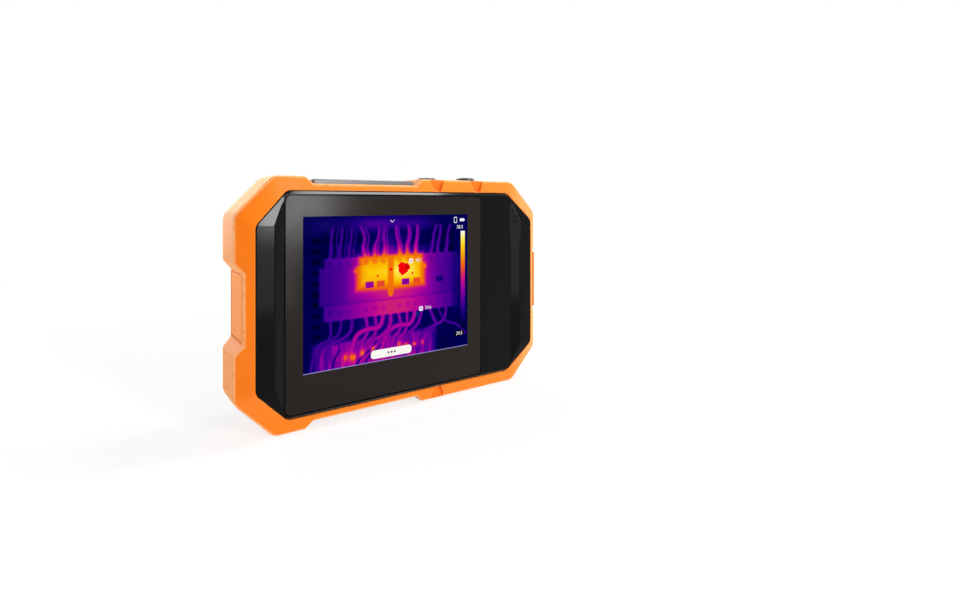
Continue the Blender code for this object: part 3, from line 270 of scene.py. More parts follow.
def carve(piece, *cutters, join=()):
    """Cut the cutters out of a piece and add the joined ones, then keep the result as a plain mesh."""
    for tool in (*join, *cutters):
        step = piece.modifiers.new(tool.name, "BOOLEAN")
        step.operation = "UNION" if tool in join else "DIFFERENCE"
        step.object = tool
    view = bpy.context.evaluated_depsgraph_get()
    cut = bpy.data.meshes.new_from_object(piece.evaluated_get(view))
    piece.modifiers.clear()
    piece.data = cut
    for tool in (*join, *cutters):
        bpy.data.objects.remove(tool)
    return piece


print("points of a turned ring:", along("z", circle(1.0, steps=8), 0.0).shape)

# %% [markdown]
# A finish is a small network of shader nodes. Written out link by link such a network is long, so two
# helpers make it short: one fills a node's inputs, with another node's output or a plain value, and one
# reads a colour ramp. Every pattern is noise on Object coordinates, so it stays with its piece.

# %% Nodes of a finish
def linear(*levels):
    """Screen levels from 0 to 255 as linear light, by the curve that screens follow."""
    v = np.array(levels, float) / 255
    return tuple(np.where(v <= 0.04045, v / 12.92, ((v + 0.055) / 1.055) ** 2.4).tolist())


def feed(tree, node, values):
    """Fill inputs of a node: an output of another is linked, a plain value is set on the socket itself."""
    for socket, value in values.items():
        if isinstance(value, bpy.types.NodeSocket):
            tree.links.new(value, node.inputs[socket])
        else:
            node.inputs[socket].default_value = value


def add_node(tree, kind, values, **options):
    """A new shader node: its options are set first, then its inputs are filled."""
    node = tree.nodes.new(f"ShaderNode{kind}")
    for option, value in options.items():
        setattr(node, option, value)
    feed(tree, node, values)
    return node


def new_look(name, values):
    """A material, its node tree and its Principled shader with the given values on its own sockets."""
    look = bpy.data.materials.new(name)
    look.use_nodes = True
    shader = look.node_tree.nodes["Principled BSDF"]
    feed(look.node_tree, shader, values)
    return look, look.node_tree, shader


def noise(tree, size, detail=2.0):
    """Noise on Object coordinates whose spots are about `size` millimetres wide."""
    place = add_node(tree, "TexCoord", {}).outputs["Object"]
    spots = add_node(tree, "TexNoise", {"Vector": place, "Scale": 1 / (size * MM), "Detail": detail})
    return spots.outputs["Fac"]


def through_ramp(tree, share, stops):
    """The colour that a ramp of (place, linear colour) stops has at `share`."""
    ramp = add_node(tree, "ValToRGB", {"Fac": share})
    elements = ramp.color_ramp.elements
    while len(elements) < len(stops):
        elements.new(0.5)
    for element, (at, colour) in zip(elements, stops):
        element.position = at
        element.color = (*colour, 1.0)
    return ramp.outputs["Color"]


print("screen level 128 as linear light:", np.round(linear(128), 3).tolist())

# %% [markdown]
# Moulded plastic and rubber are never one flat value. A slow noise shifts the colour a little, and a fine
# one makes the grain that an etched mould leaves, which also breaks up the gloss. Rubber has a pale haze
# where it is seen at a flat angle, and the shader's sheen is made for that. The front housing is smooth
# and so black that its reflections are all one sees: its colour is near nothing, its gloss high.

# %% Plastic, rubber and metal
CLOUD_MM = 14.0
NOISE_RANGE = (0.3, 0.7)
HAZE = 0.78
HAZE_COLOUR = (255, 224, 150)


def add_tint(tree, shader, colour, tint):
    """Colour between (1 - tint) and (1 + tint) times the given one, by a slow noise."""
    shades = [[min(1.0, level * share) for level in colour] for share in (1 - tint, 1 + tint)]
    stops = list(zip(NOISE_RANGE, shades))
    feed(tree, shader, {"Base Color": through_ramp(tree, noise(tree, CLOUD_MM), stops)})


def add_grain(tree, shader, size, depth, rough):
    """Bump of the given depth and roughness between two values, both from one fine noise."""
    grain = noise(tree, size, 3.0)
    limits = dict(zip(("From Min", "From Max", "To Min", "To Max"), (*NOISE_RANGE, *rough)))
    spread = add_node(tree, "MapRange", {"Value": grain, **limits})
    bump = add_node(tree, "Bump", {"Height": grain, "Distance": depth * MM})
    feed(tree, shader, {"Roughness": spread.outputs["Result"], "Normal": bump.outputs["Normal"]})


def moulded(name, colour, rough, grain=0.35, depth=0.004, tint=0.05, gloss=0.5, ior=1.5):
    """Plastic or rubber from a mould with an etched grain; the colour is in screen levels."""
    look, tree, shader = new_look(name, {"Specular IOR Level": gloss, "IOR": ior})
    add_tint(tree, shader, linear(*colour), tint)
    add_grain(tree, shader, grain, depth, rough)
    return look


def rubber(name, colour, rough):
    """Soft rubber: a moulded finish with little gloss and a pale haze."""
    look = moulded(name, colour, rough, grain=0.28, depth=0.002, tint=0.03, gloss=0.1)
    haze = {"Sheen Weight": HAZE, "Sheen Roughness": 0.5, "Sheen Tint": (*linear(*HAZE_COLOUR), 1.0)}
    feed(look.node_tree, look.node_tree.nodes["Principled BSDF"], haze)
    return look


def metal(name, colour, rough, grain=0.25, depth=0.001, tint=0.06):
    """Metal with fine tool marks."""
    look, tree, shader = new_look(name, {"Metallic": 1.0})
    add_tint(tree, shader, linear(*colour), tint)
    add_grain(tree, shader, grain, depth, rough)
    return look


black_plastic = moulded("black_plastic", (2, 2, 2), (0.1, 0.14), 0.3, 0.0012, gloss=0.8, ior=1.15)
orange_rubber = rubber("orange_rubber", (232, 111, 2), (0.34, 0.46))
print("finishes:", black_plastic.name, orange_rubber.name)

# %% [markdown]
# Every piece is finished by the same steps. It gets its look and smooth shading with its sharp edges
# kept, and weighted normals, so that a flat face stays flat beside a small round edge.

# %% Dressing a piece
SMOOTH_ANGLE = math.radians(32)


def dress(piece, look, slot, *nodes, crisp=True):
    """Give a piece its finish, shade it smooth, and let it stand for its CAD nodes and ride with them."""
    piece.data.materials.clear()
    piece.data.materials.append(look)
    piece.data.shade_smooth()
    piece.data.set_sharp_from_angle(angle=SMOOTH_ANGLE)
    if crisp:
        flats = piece.modifiers.new("flat faces stay flat", "WEIGHTED_NORMAL")
        flats.keep_sharp = True
    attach(piece, frame["nodes"][nodes[0]]["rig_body"])
    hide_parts(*nodes)
    print(f"{piece.name}: {len(piece.data.polygons)} faces, rides with {nodes[0]}")
    return piece


print(f"edges sharper than {math.degrees(SMOOTH_ANGLE):.0f} degrees stay sharp")

# %% [markdown]
# The front housing is one black moulding. Its flat face carries the glass, and slopes climb from it to
# a raised shoulder at each side. At the cut corners the shoulder falls away in a facet, and along the
# top and the bottom only a thin bevel is left. It could be chamfered from a block, but a loft is truer:
# four paths run round the body together, and the profile between them is rounded at every edge.

# %% Outline and depth of the front housing
SLOPE_W = 3.6
SHOULDER_W = 6.2
CORNER_CUT = 11.4
CORNER_R = 4.0
BEVEL_H = 1.0
BEVEL_D = 0.9
FACET_BLEND = 1.2
SLIT = 0.2
RIDGE_X = HALF_W - SHOULDER_W
RIDGE_Z = HALF_H - CORNER_CUT
FACE_X = RIDGE_X - SLOPE_W
FACE_Z = HALF_H - BEVEL_H
FACET_TOP = RIDGE_Z + CORNER_CUT * RISE / (RISE + BEVEL_D)
FACE_R = FACE_Z - FACET_TOP


def shell_corners(grow):
    """The eight corners of the housing seen from the front, moved outwards by `grow`."""
    w, h = HALF_W + grow, HALF_H + grow
    leg = CORNER_CUT + grow * (2 - math.sqrt(2))
    return np.array([
        (w, -h + leg), (w, h - leg), (w - leg, h), (-w + leg, h),
        (-w, h - leg), (-w, -h + leg), (-w + leg, -h), (w - leg, -h),
    ])


def shell_loop(grow, steps=8):
    """The housing's outline with its eight corners rounded."""
    return rounded(shell_corners(grow), CORNER_R, steps).reshape(-1, 2)


def face_depth(z):
    """Depth of the housing's outer edge: -RISE at the sides, then falling to BEVEL_D across the facets.

    The kink is eased: with d the height past the ridge and b the blend, (d + sqrt(d^2 + b^2)) / 2 takes
    the place of the larger of d and 0.
    """
    past = np.abs(z) - RIDGE_Z
    past = (past + np.sqrt(past**2 + FACET_BLEND**2)) / 2
    return np.minimum(-RISE + past * (RISE + BEVEL_D) / CORNER_CUT, BEVEL_D)


print(f"depth of the outer edge from {face_depth(0.0):.2f} to {face_depth(HALF_H):.2f} mm")

# %% [markdown]
# Three of the four paths are worked out here: the rim, the ridge of the shoulder and the edge of the flat
# face. The body's four corners are alike, so only the upper right one is drawn, and mirrored copies strung
# together give the whole way round. The fourth path, round the glass, follows from them.

# %% Paths round the front housing
def corner_paths(arc_steps=12, facet_steps=7):
    """Rim, ridge and face lines round the upper right corner, from the side to the top, each (n, 2).

    Up to the ridge's height all three run upwards. Across the facet the ridge line leads to the point
    where the facet meets the face, and along the rim's upper arc ridge and face share one soft corner.
    """
    arcs = rounded(shell_corners(0.0), CORNER_R, arc_steps)
    way = np.linspace(0, 1, facet_steps + 2)[1:-1, None]
    rim = np.concatenate([arcs[1], arcs[1][-1] + way * (arcs[2][0] - arcs[1][-1]), arcs[2]])
    share = np.clip((rim[:, 1] - RIDGE_Z) / (arcs[2][0, 1] - RIDGE_Z), 0, 1)
    height = np.minimum(rim[:, 1], RIDGE_Z) + share * (FACET_TOP - RIDGE_Z)
    ridge = np.stack([RIDGE_X + share * (FACE_X - RIDGE_X), height], -1)
    face = np.stack([np.full(len(rim), FACE_X), height], -1)
    t = np.linspace(0, 1, arc_steps + 1)[:, None]
    corner = np.array((FACE_X, FACE_Z))
    soft = curve(corner - (0, FACE_R), corner, corner - (FACE_R, 0), t)
    ridge[-arc_steps - 1 :] = soft
    face[-arc_steps - 1 :] = soft
    return rim, ridge, face


def all_round(path):
    """A path of the upper right corner mirrored into all four, anticlockwise."""
    return np.concatenate([path, path[::-1] * (-1, 1), -path, path[::-1] * (1, -1)])


rim_path, ridge_path, face_path = map(all_round, corner_paths())
print("stations round the front housing:", len(rim_path))

# %% [markdown]
# The glass lies in a shallow recess whose outline follows the same stations: round its own corners
# where the face turns, straight between them. The profile then reads, from the recess outwards: floor,
# wall, face, slope, shoulder, outer wall. Its edges get the small radii that a mould would give them.

# %% Front housing
GLASS_R = 2.4
SEAT_Y = 1.5
LCD_PLAY = 0.3
LCD_SOFT = 0.1
GLASS_AT, GLASS_SIZE = seen_along("y", "touch_glass")
# A cutter reaches this far past the face that it cuts.
PAST = 1.0


def glass_path(grow):
    """The glass outline at the stations of the face: heights and widths stretched, corners to corners."""
    half = GLASS_SIZE / 2 + grow
    radius = GLASS_R + grow
    flat = np.array((FACE_X, FACE_Z)) - FACE_R
    inner = np.clip(face_path, -flat, flat) / flat * (half - radius)
    outer = (face_path - np.clip(face_path, -flat, flat)) / FACE_R * radius
    return GLASS_AT + inner + outer


def at_depth(path, depth):
    """Points (x, z) of a path with their depths, as (x, y, z)."""
    return np.insert(path, 1, depth, axis=1)


seat = glass_path(SLIT)
on_arc = np.abs(ridge_path[:, 1]) > FACET_TOP - 1e-6
ridge_depth = np.where(on_arc, 0.0, np.minimum(face_depth(ridge_path[:, 1]), 0.0))
front_lines = np.stack(
    [
        at_depth(seat, SEAT_Y),
        at_depth(seat, 0.0),
        at_depth(face_path, 0.0),
        at_depth(ridge_path, ridge_depth),
        at_depth(rim_path, face_depth(rim_path[:, 1])),
        at_depth(rim_path, SPLIT_Y),
    ],
    axis=1,
)
FRONT_EDGES = (0, 0.12, 0.3, 0.4, 0.25, 0)
front_rows = soft_profile(front_lines, FRONT_EDGES, 5)
front_housing = loft("front_housing_shell", front_rows.transpose(1, 0, 2))
lcd_at, lcd_size = seen_along("y", "lcd_module")
window = soft_box(*(lcd_size + 2 * LCD_PLAY), LCD_SOFT, lcd_at, 1)
carve(front_housing, prism("window", "y", window, SEAT_Y - LCD_PLAY, SPLIT_Y + PAST))
dress(front_housing, black_plastic, "front_plastic", "front_housing")

# %% [markdown]
# The bumper is soft orange rubber moulded round both housings. Its outline is a polygon: cut corners,
# a notch with ramps in every side. Seen in section it starts at the housing's edge, slopes back to its
# own lip and turns into the side wall. So its path pairs an inner and an outer point at each station,
# and one rounded section is carried round. Extra stations keep the path fine where scoops press in.

# %% Path of the bumper
BUMPER_CUT = 13.2
BUMPER_R = 5.0
LIP_Y = 1.9
SIDE_NOTCH = 2.75
SIDE_OPEN = 29.6
SIDE_FLOOR = 23.1
END_NOTCH = 2.5
END_LENGTH = 48.4
END_RAMP = 2.8
END_X = -18.3
NOTCH_R = 1.2
STATION_MM = 0.35
CORNER, SIDE, END = 0, 1, 2


def bumper_corners():
    """Outer corners anticlockwise from the lower right: x, z, the corner's radius and its kind."""
    w, h, cut = OUT_W, OUT_H, BUMPER_CUT
    floor_x, floor_z = OUT_W - SIDE_NOTCH, OUT_H - END_NOTCH
    near, far = END_X + END_LENGTH / 2, END_X - END_LENGTH / 2
    side = [(w, -SIDE_OPEN / 2), (floor_x, -SIDE_FLOOR / 2), (floor_x, SIDE_FLOOR / 2), (w, SIDE_OPEN / 2)]
    top = [(near, h), (near - END_RAMP, floor_z), (far + END_RAMP, floor_z), (far, h)]
    runs = [
        ([(w, cut - h)], CORNER), (side, SIDE), ([(w, h - cut), (w - cut, h)], CORNER), (top, END),
        ([(cut - w, h), (-w, h - cut)], CORNER), ([(-x, -z) for x, z in side], SIDE),
        ([(-w, cut - h), (cut - w, -h)], CORNER), ([(x, -z) for x, z in top[::-1]], END),
        ([(w - cut, -h)], CORNER),
    ]
    return np.array(
        [(x, z, BUMPER_R if kind == CORNER else NOTCH_R, kind) for run, kind in runs for x, z in run]
    )


def bumper_path(arc_steps=8):
    """Inner and outer points and the lip's share at each station round the bumper, as one array (n, 5).

    At a corner the inner point runs round the housing's own corner. Elsewhere it faces the outer point
    straight across. The share is 1 on the full width and less in a notch. All five columns are then
    read again at even steps of the outer length, with the corners' own points kept.
    """
    corners = bumper_corners()
    outer = rounded(corners[:, :2], corners[:, 2], arc_steps)
    kind = np.repeat(corners[:, 3:], arc_steps + 1, axis=1)
    inner = outer.copy()
    inner[kind == CORNER] = rounded(shell_corners(SLIT), CORNER_R, arc_steps).reshape(-1, 2)
    inner[..., 0] = np.where(kind == SIDE, np.sign(outer[..., 0]) * (HALF_W + SLIT), inner[..., 0])
    inner[..., 1] = np.where(kind == END, np.sign(outer[..., 1]) * (HALF_H + SLIT), inner[..., 1])
    wide = np.abs(outer - inner)
    share = np.where(kind == SIDE, wide[..., 0] / (OUT_W - HALF_W - SLIT), 1.0)
    share = np.where(kind == END, wide[..., 1] / (OUT_H - HALF_H - SLIT), share)
    points = np.concatenate([inner, outer, share[..., None]], -1).reshape(-1, 5)
    points = np.concatenate([points, points[:1]])
    length = np.r_[0, np.cumsum(np.linalg.norm(np.diff(points[:, 2:4], axis=0), axis=1))]
    keep = np.r_[True, np.diff(length) > 1e-6]
    fine = np.arange(0, length[-1], STATION_MM)
    near = np.abs(fine[:, None] - length[None]).min(1) > STATION_MM / 3
    read = np.unique(np.r_[length[keep], fine[near]])[:-1]
    return np.stack([np.interp(read, length[keep], column[keep]) for column in points.T], -1)


bumper_line = bumper_path()
print("stations round the bumper:", len(bumper_line))

# %% [markdown]
# The section has four corners: at the housing's edge, at the lip, and the two at the back. Each gets
# its own radius, the largest at the back where the hand holds it. Rows are added across the front so
# that the scoops, small trapezoid grips by the buttons, can be pressed into the surface afterwards.

# %% Section of the bumper
BUMPER_EDGES = (0.3, 1.1, 2.2, 0.3)
FRONT_ROWS = 12
EDGE_STEPS = 6
(POWER_X, BUTTON_Y), power_size = seen_along("z", "power_button")
CAPTURE_X = seen_along("z", "capture_button")[0][0]
SCOOP_W = 7.2
SCOOP_NECK = 2.6
SCOOP_DEPTH = 0.4
SCOOP_TILT = 0.6
SCOOP_WALL = 0.45
SCOOP_RISE = 1.0
SCOOPS = ((POWER_X, 1), (CAPTURE_X, 1), (POWER_X, -1))


def bumper_rows(line):
    """The section at each station, (n, k, 3): a rounded loop through edge, lip, back and inner back."""
    inner, outer, share = line[:, :2], line[:, 2:4], line[:, 4]
    edge = face_depth(inner[:, 1])
    lip = edge + share * (LIP_Y - edge)
    corners = [at_depth(inner, edge), at_depth(outer, lip)]
    corners += [at_depth(outer, BUMPER_BACK), at_depth(inner, BUMPER_BACK)]
    rows = soft_profile(np.stack(corners, axis=1), BUMPER_EDGES, EDGE_STEPS, closed=True)
    first = rows.shape[1] // 4
    t = np.linspace(0, 1, FRONT_ROWS + 2)[None, 1:-1, None]
    across = rows[:, first - 1 : first] * (1 - t) + rows[:, first : first + 1] * t
    return np.concatenate([rows[:, :first], across, rows[:, first:]], axis=1)


def press_scoops(rows):
    """Push the front back inside each trapezoid; gives the new rows and the share of the push, 0 to 1.

    A scoop's floor lies SCOOP_DEPTH behind the lip and SCOOP_TILT further in at the neck. The mask is 0
    outside the trapezoid's sides and 1 a wall's width inside them, and starts above the housing's edge.
    """
    x, y, z = np.moveaxis(rows, -1, 0)
    way = np.clip((np.abs(z) - HALF_H) / (OUT_H - HALF_H), 0, 1)
    half = (SCOOP_NECK + (SCOOP_W - SCOOP_NECK) * way) / 2
    mask = np.zeros(x.shape)
    for middle, side in SCOOPS:
        across = np.clip((half - np.abs(x - middle)) / SCOOP_WALL, 0, 1)
        mask = np.maximum(mask, across * np.clip((side * z - HALF_H) / SCOOP_RISE, 0, 1))
    floor = LIP_Y + SCOOP_DEPTH + SCOOP_TILT * (1 - way)
    push = mask * mask * (3 - 2 * mask) * np.maximum(floor - y, 0)
    return np.stack([x, y + push, z], -1), np.clip(push / SCOOP_DEPTH, 0, 1)


section, recess = press_scoops(bumper_rows(bumper_line))
bumper = loft("bumper_rubber_shell", section.transpose(1, 0, 2), "ring")
print("bumper grid:", section.shape)

# %% [markdown]
# Light and shade are painted into the rubber's colour: a painted highlight makes the outer edges pale,
# and painted shade deepens the scoops. The section knows where both are, so one number for each point,
# from -1 in a scoop to 1 on an edge, goes onto the mesh as an attribute; the finish blends its colours by
# it.

# %% Painted highlight and shade of the bumper
# Painted highlight on the bumper's outer edges, in uneven spots this wide.
HIGHLIGHT_SPOT_MM = 2.0
# Painted shade: the scoops are darkened to this deeper orange.
SCOOP_SHADE_ORANGE = (230, 104, 0)
# Painted highlight: the pale orange of the outer edges.
HIGHLIGHT_ORANGE = (255, 205, 150)


def edge_highlight_scoop_shade(pressed):
    """Painted light (n, k): highlight as a bell, sin^2, over the points of the lip's and back's curve, minus
    shade in scoops.
    """
    bell = np.sin(np.linspace(0, np.pi, EDGE_STEPS + 1)) ** 2
    line = np.zeros(pressed.shape[1])
    lip = EDGE_STEPS + 1 + FRONT_ROWS
    line[lip : lip + EDGE_STEPS + 1] = bell
    line[lip + EDGE_STEPS + 1 : lip + 2 * (EDGE_STEPS + 1)] = bell
    return line * (1 - pressed) - pressed


def add_painted_light(look, deep, pale):
    """Blend the plain colour to `deep`, painted shade, as the attribute goes to -1, and to `pale`, a painted
    highlight, in uneven spots, towards 1.
    """
    tree = look.node_tree
    shader = tree.nodes["Principled BSDF"]
    colour = shader.inputs["Base Color"].links[0].from_socket
    value = add_node(tree, "Attribute", {}, attribute_name="painted_light").outputs["Fac"]
    in_scoop = add_node(tree, "MapRange", {"Value": value, "From Max": -1.0})
    on_edge = add_node(tree, "MapRange", {"Value": value, "To Max": noise(tree, HIGHLIGHT_SPOT_MM)})
    for share, levels in ((in_scoop, deep), (on_edge, pale)):
        blend = {"Factor": share.outputs["Result"], "A": colour, "B": (*linear(*levels), 1.0)}
        colour = add_node(tree, "Mix", blend, data_type="RGBA").outputs["Result"]
    feed(tree, shader, {"Base Color": colour})


# The attribute holds painted light: painted shade in the scoops and a painted highlight on the outer edges.
painted_light = bumper.data.attributes.new("painted_light", "FLOAT", "POINT")
painted_light.data.foreach_set("value", edge_highlight_scoop_shade(recess).T.ravel())
add_painted_light(orange_rubber, SCOOP_SHADE_ORANGE, HIGHLIGHT_ORANGE)
print("wear stored for", len(bumper.data.vertices), "points")

# %% [markdown]
# Openings come last: the seat of the port flap with the port behind it, the strap recess, the slot for
# the trim panel, the holes for the two buttons and the one under the tripod thread. Each is a prism
# on the CAD's own size plus the small gap that the CAD keeps.

# %% Openings in the bumper
GAP = 0.3
FLAP_T = 1.5
FLAP_R = 1.0
PORT_SIZE = (6.5, 13.0)
PORT_R = 1.5
TRIM_R = 0.9
STRAP_SIZE = (12.4, 20.3)
STRAP_R = 1.5
STRAP_LIP = 1.0
STRAP_FLOOR = 1.5
BUTTON_R = 3.95
FLANGE_R = power_size[0] / 2
FLANGE_TOP = HALF_H + 2.0
COLLAR_T = 1.2
COLLAR_PLAY = 0.05
WAIST_R = 3.4
FLAP_OUT, FLAP_IN = extent("x", "port_flap")
INSERT_FOOT, INSERT_TOP = extent("z", "tripod_insert")
flap_at, flap_size = seen_along("x", "port_flap")
trim_at, trim_size = seen_along("z", "top_trim")
insert_at, insert_size = seen_along("z", "tripod_insert")
insert_r = insert_size[0] / 2
flap_floor = FLAP_OUT + FLAP_T + GAP
collar_top = INSERT_FOOT + COLLAR_T
flap_seat = soft_box(*(flap_size + 2 * SLIT), FLAP_R, flap_at)
port_outline = soft_box(*PORT_SIZE, PORT_R, flap_at)
trim_slot = soft_box(*(trim_size + 2 * GAP), TRIM_R, trim_at)
strap_outline = soft_box(*STRAP_SIZE, STRAP_R, (STRAP_LIP + STRAP_SIZE[0] / 2, 0.0))
under, into = -OUT_H - PAST, -HALF_H + PAST
thread_hole = [
    (0, under), (insert_r + COLLAR_PLAY, under), (insert_r + COLLAR_PLAY, collar_top),
    (WAIST_R + COLLAR_PLAY, collar_top), (WAIST_R + COLLAR_PLAY, into), (0, into),
]
cutters = [
    prism("flap_seat", "x", flap_seat, -OUT_W - PAST, flap_floor),
    prism("port", "x", port_outline, flap_floor - PAST, -HALF_W + PAST),
    prism("trim_slot", "z", trim_slot, HALF_H - PAST, OUT_H + PAST),
    turned("thread", "z", thread_hole, insert_at),
    prism("strap_recess", "x", strap_outline, HALF_W + STRAP_FLOOR, OUT_W + PAST),
]
for x in (POWER_X, CAPTURE_X):
    for name, radius, top in (("hole", BUTTON_R, OUT_H + PAST), ("pocket", FLANGE_R, FLANGE_TOP + GAP)):
        cutters.append(prism(name, "z", circle(radius + GAP, (x, BUTTON_Y)), HALF_H - PAST, top))
carve(bumper, *cutters)
dress(bumper, orange_rubber, "bumper_rubber", "bumper")

# %% [markdown]
# The cover glass is one sheet, black printed round its border and clear over the display. The border
# is a ring with a ground edge, and the lit picture fills its opening flush, because display and glass
# are bonded on such cameras. Printed black under glass is nearly all reflection, so its colour is
# close to nothing and its gloss is high.

# %% Cover glass
LCD_RIM = 3.0
LCD_FOOT = 4.5
LCD_LOW, LCD_HIGH = span("lcd_module")
PICTURE_LEFT = LCD_LOW[0] + LCD_RIM
PICTURE_RIGHT = LCD_HIGH[0] - LCD_RIM
PICTURE_TOP = LCD_HIGH[2] - LCD_RIM
PICTURE_BOTTOM = LCD_LOW[2] + LCD_FOOT
PICTURE_W = PICTURE_RIGHT - PICTURE_LEFT
PICTURE_H = PICTURE_TOP - PICTURE_BOTTOM
GLASS_T = extent("y", "touch_glass")[1]
GLASS_EDGE = 0.2
GLASS_DIP = 0.06
GLASS_STEPS = 10


def printed_glass():
    """Black print under polished glass: almost black, very smooth, with faint smears in the gloss."""
    look, tree, shader = new_look("printed_glass", {"Specular IOR Level": 0.15})
    add_tint(tree, shader, linear(24, 18, 15), 0.05)
    add_grain(tree, shader, 9.0, 0.0, (0.14, 0.18))
    return look


def glass_border():
    """Loops of the ring: outer back, ground outer edge, picture edge, inner back; four corners to four."""
    outer = soft_box(*GLASS_SIZE, GLASS_R, GLASS_AT, GLASS_STEPS)
    inset = soft_box(*(GLASS_SIZE - 2 * GLASS_EDGE), GLASS_R - GLASS_EDGE, GLASS_AT, GLASS_STEPS)
    centre = np.array((PICTURE_LEFT + PICTURE_RIGHT, PICTURE_TOP + PICTURE_BOTTOM)) / 2
    inner = soft_box(PICTURE_W, PICTURE_H, 0.0, centre, GLASS_STEPS)
    lines = [(outer, GLASS_T), (outer, GLASS_EDGE), ((outer + inset) / 2, GLASS_DIP)]
    lines += [(inset, 0.0), (inner, 0.0), (inner, GLASS_T)]
    return np.stack([at_depth(line, depth) for line, depth in lines])


glass = loft("cover_glass_border", glass_border(), "ring")
dress(glass, printed_glass(), "cover_glass", "touch_glass")
print(f"picture {PICTURE_W:.1f} x {PICTURE_H:.1f} mm")

# %% [markdown]
# The display shows what the thermal sensor sees: an electric cabinet with wires above and below, cool
# ones in blue, loaded ones in magenta, and two hot breakers in the middle. There is no photograph in
# it. A warmth is worked out for every point of a grid from soft boxes, cables and glows, kept on the
# mesh as an attribute, and only the palette in the material turns it into colour.

# %% Helpers of the thermal picture
def soft_step(value, edge, width):
    """0 below the edge and 1 above it, by the smooth cubic 3t^2 - 2t^3 over `width`."""
    t = np.clip((value - edge) / width + 0.5, 0, 1)
    return t * t * (3 - 2 * t)


def patch(x, y, left, right, top, bottom, blur=0.5):
    """A soft-edged rectangle: the product of four soft steps."""
    across = soft_step(x, left, blur) * (1 - soft_step(x, right, blur))
    return across * soft_step(y, top, blur) * (1 - soft_step(y, bottom, blur))


def glow(x, y, at, wide, high):
    """A bell: e to the minus of the squared distance, measured in its own width and height."""
    return np.exp(-(((x - at[0]) / wide) ** 2) - ((y - at[1]) / high) ** 2)


def paint(warmth, mask, level):
    """Blend a level over the warmth by a mask."""
    return warmth + mask * (level - warmth)


def route(points, steps=22):
    """A smooth line through a few points: quadratic curves between the middles of its legs."""
    p = np.asarray(points, float)
    joints = np.concatenate([p[:1], (p[1:-2] + p[2:-1]) / 2, p[-1:]])
    t = np.linspace(0, 1, steps)[None, :, None]
    return curve(joints[:-1, None], p[1:-1, None], joints[1:, None], t).reshape(-1, 2)


def cable(x, y, points, half):
    """Round shading about a route: the square root of 1 - (distance / half width)^2."""
    away = np.full(x.shape, np.inf)
    for spot in route(points):
        away = np.minimum(away, (x - spot[0]) ** 2 + (y - spot[1]) ** 2)
    return np.sqrt(np.clip(1 - away / half**2, 0, 1))


print("soft step in its middle:", soft_step(np.array(0.0), 0.0, 1.0))

# %% [markdown]
# The layout is measured in millimetres of the screen from its upper left corner. Twelve terminals
# stand in four groups of three, one group to a breaker. The wires above hang in slight waves and end
# in thicker sleeves. Those below turn aside and become the cables that leave at the bottom.

# %% Wires of the thermal picture
GROUP_MM = 14.2
TERMINAL_MM = 3.65
TERMINALS = (9.9 + GROUP_MM * np.arange(4)[:, None] + TERMINAL_MM * np.arange(3)).ravel()
GROUP_LOAD = np.repeat((0.05, 0.75, 1.0, 0.3), 3)
WIRES_TOP = 4.2
CABINET_TOP = 14.8
LEAN_UP = np.array((1.2, 1.0, 1.2, -2.0, 1.8, 0.8, -1.4, 0.4, 0.8, 3.0, 1.2, 2.4))
SWAY_UP = np.array((-0.3, 0.3, 0.3, 0.8, 0.6, -0.5, -0.4, 0.5, 0.2, -0.4, 0.4, -0.4))
LOWER_ROUTES = (
    (((9.9, 36.0), (10.4, 40.0), (9.6, 43.0), (5.6, 44.6), (4.8, 54.0)), 0.5, 0.25),
    (((14.2, 36.0), (14.4, 40.4), (10.6, 43.2), (4.0, 43.6), (2.6, 54.0)), 0.5, 0.26),
    (((18.4, 36.0), (18.8, 41.0), (13.6, 43.6), (8.2, 44.4), (8.6, 54.0)), 0.6, 0.3),
    (((23.7, 36.0), (25.0, 40.4), (24.4, 43.0), (21.6, 46.0), (20.6, 54.0)), 0.6, 0.42),
    (((27.7, 36.0), (28.6, 40.6), (27.8, 43.6), (23.2, 46.6), (23.0, 54.0)), 0.6, 0.42),
    (((31.2, 36.0), (31.0, 41.4), (24.0, 40.6), (18.2, 43.6), (17.4, 54.0)), 0.8, 0.48),
    (((37.7, 36.0), (39.0, 40.0), (38.8, 43.0), (34.6, 46.0), (33.6, 54.0)), 0.6, 0.43),
    (((41.6, 36.0), (42.0, 40.6), (41.0, 44.0), (37.0, 47.0), (36.4, 54.0)), 0.6, 0.43),
    (((45.2, 36.0), (44.8, 42.0), (37.0, 40.6), (31.2, 44.6), (29.4, 54.0)), 0.8, 0.47),
    (((48.6, 36.0), (47.6, 41.0), (44.0, 43.6), (40.6, 46.0), (40.0, 54.0)), 0.6, 0.36),
    (((52.0, 36.0), (54.4, 41.0), (55.6, 43.0), (51.6, 46.0), (50.6, 54.0)), 0.6, 0.33),
    (((56.0, 36.0), (58.6, 41.4), (62.0, 43.0), (66.0, 44.0), (70.0, 48.0)), 0.5, 0.24),
    (((60.0, 36.0), (60.6, 41.6), (53.0, 43.4), (47.6, 45.6), (46.6, 54.0)), 0.6, 0.32),
    (((34.4, 36.0), (34.8, 40.6), (31.4, 44.0), (26.4, 45.6), (25.8, 54.0)), 0.8, 0.44),
    (((28.4, 45.6), (26.4, 48.0), (23.4, 50.0), (21.0, 51.6), (19.6, 54.0)), 0.32, 0.2),
    (((30.0, 47.4), (28.0, 49.0), (25.6, 50.6), (24.2, 52.0), (23.6, 54.0)), 0.32, 0.22),
    (((13.4, 47.0), (12.2, 48.6), (11.6, 50.0), (11.0, 51.6), (10.8, 54.0)), 0.3, 0.2),
)


def draw_cables(x, y, warmth, cables, rim=0.5):
    """Lay each cable over the warmth: its level in the middle, a darker rim beyond its edge."""
    for points, half, level in cables:
        shade = np.clip(cable(x, y, points, half * 1.6) * 2, 0, 1)
        warmth = paint(warmth, rim * shade, 0.72 * level)
        body = cable(x, y, points, half)
        warmth = paint(warmth, np.clip(1.6 * body, 0, 1), level * (0.8 + 0.2 * body))
    return warmth


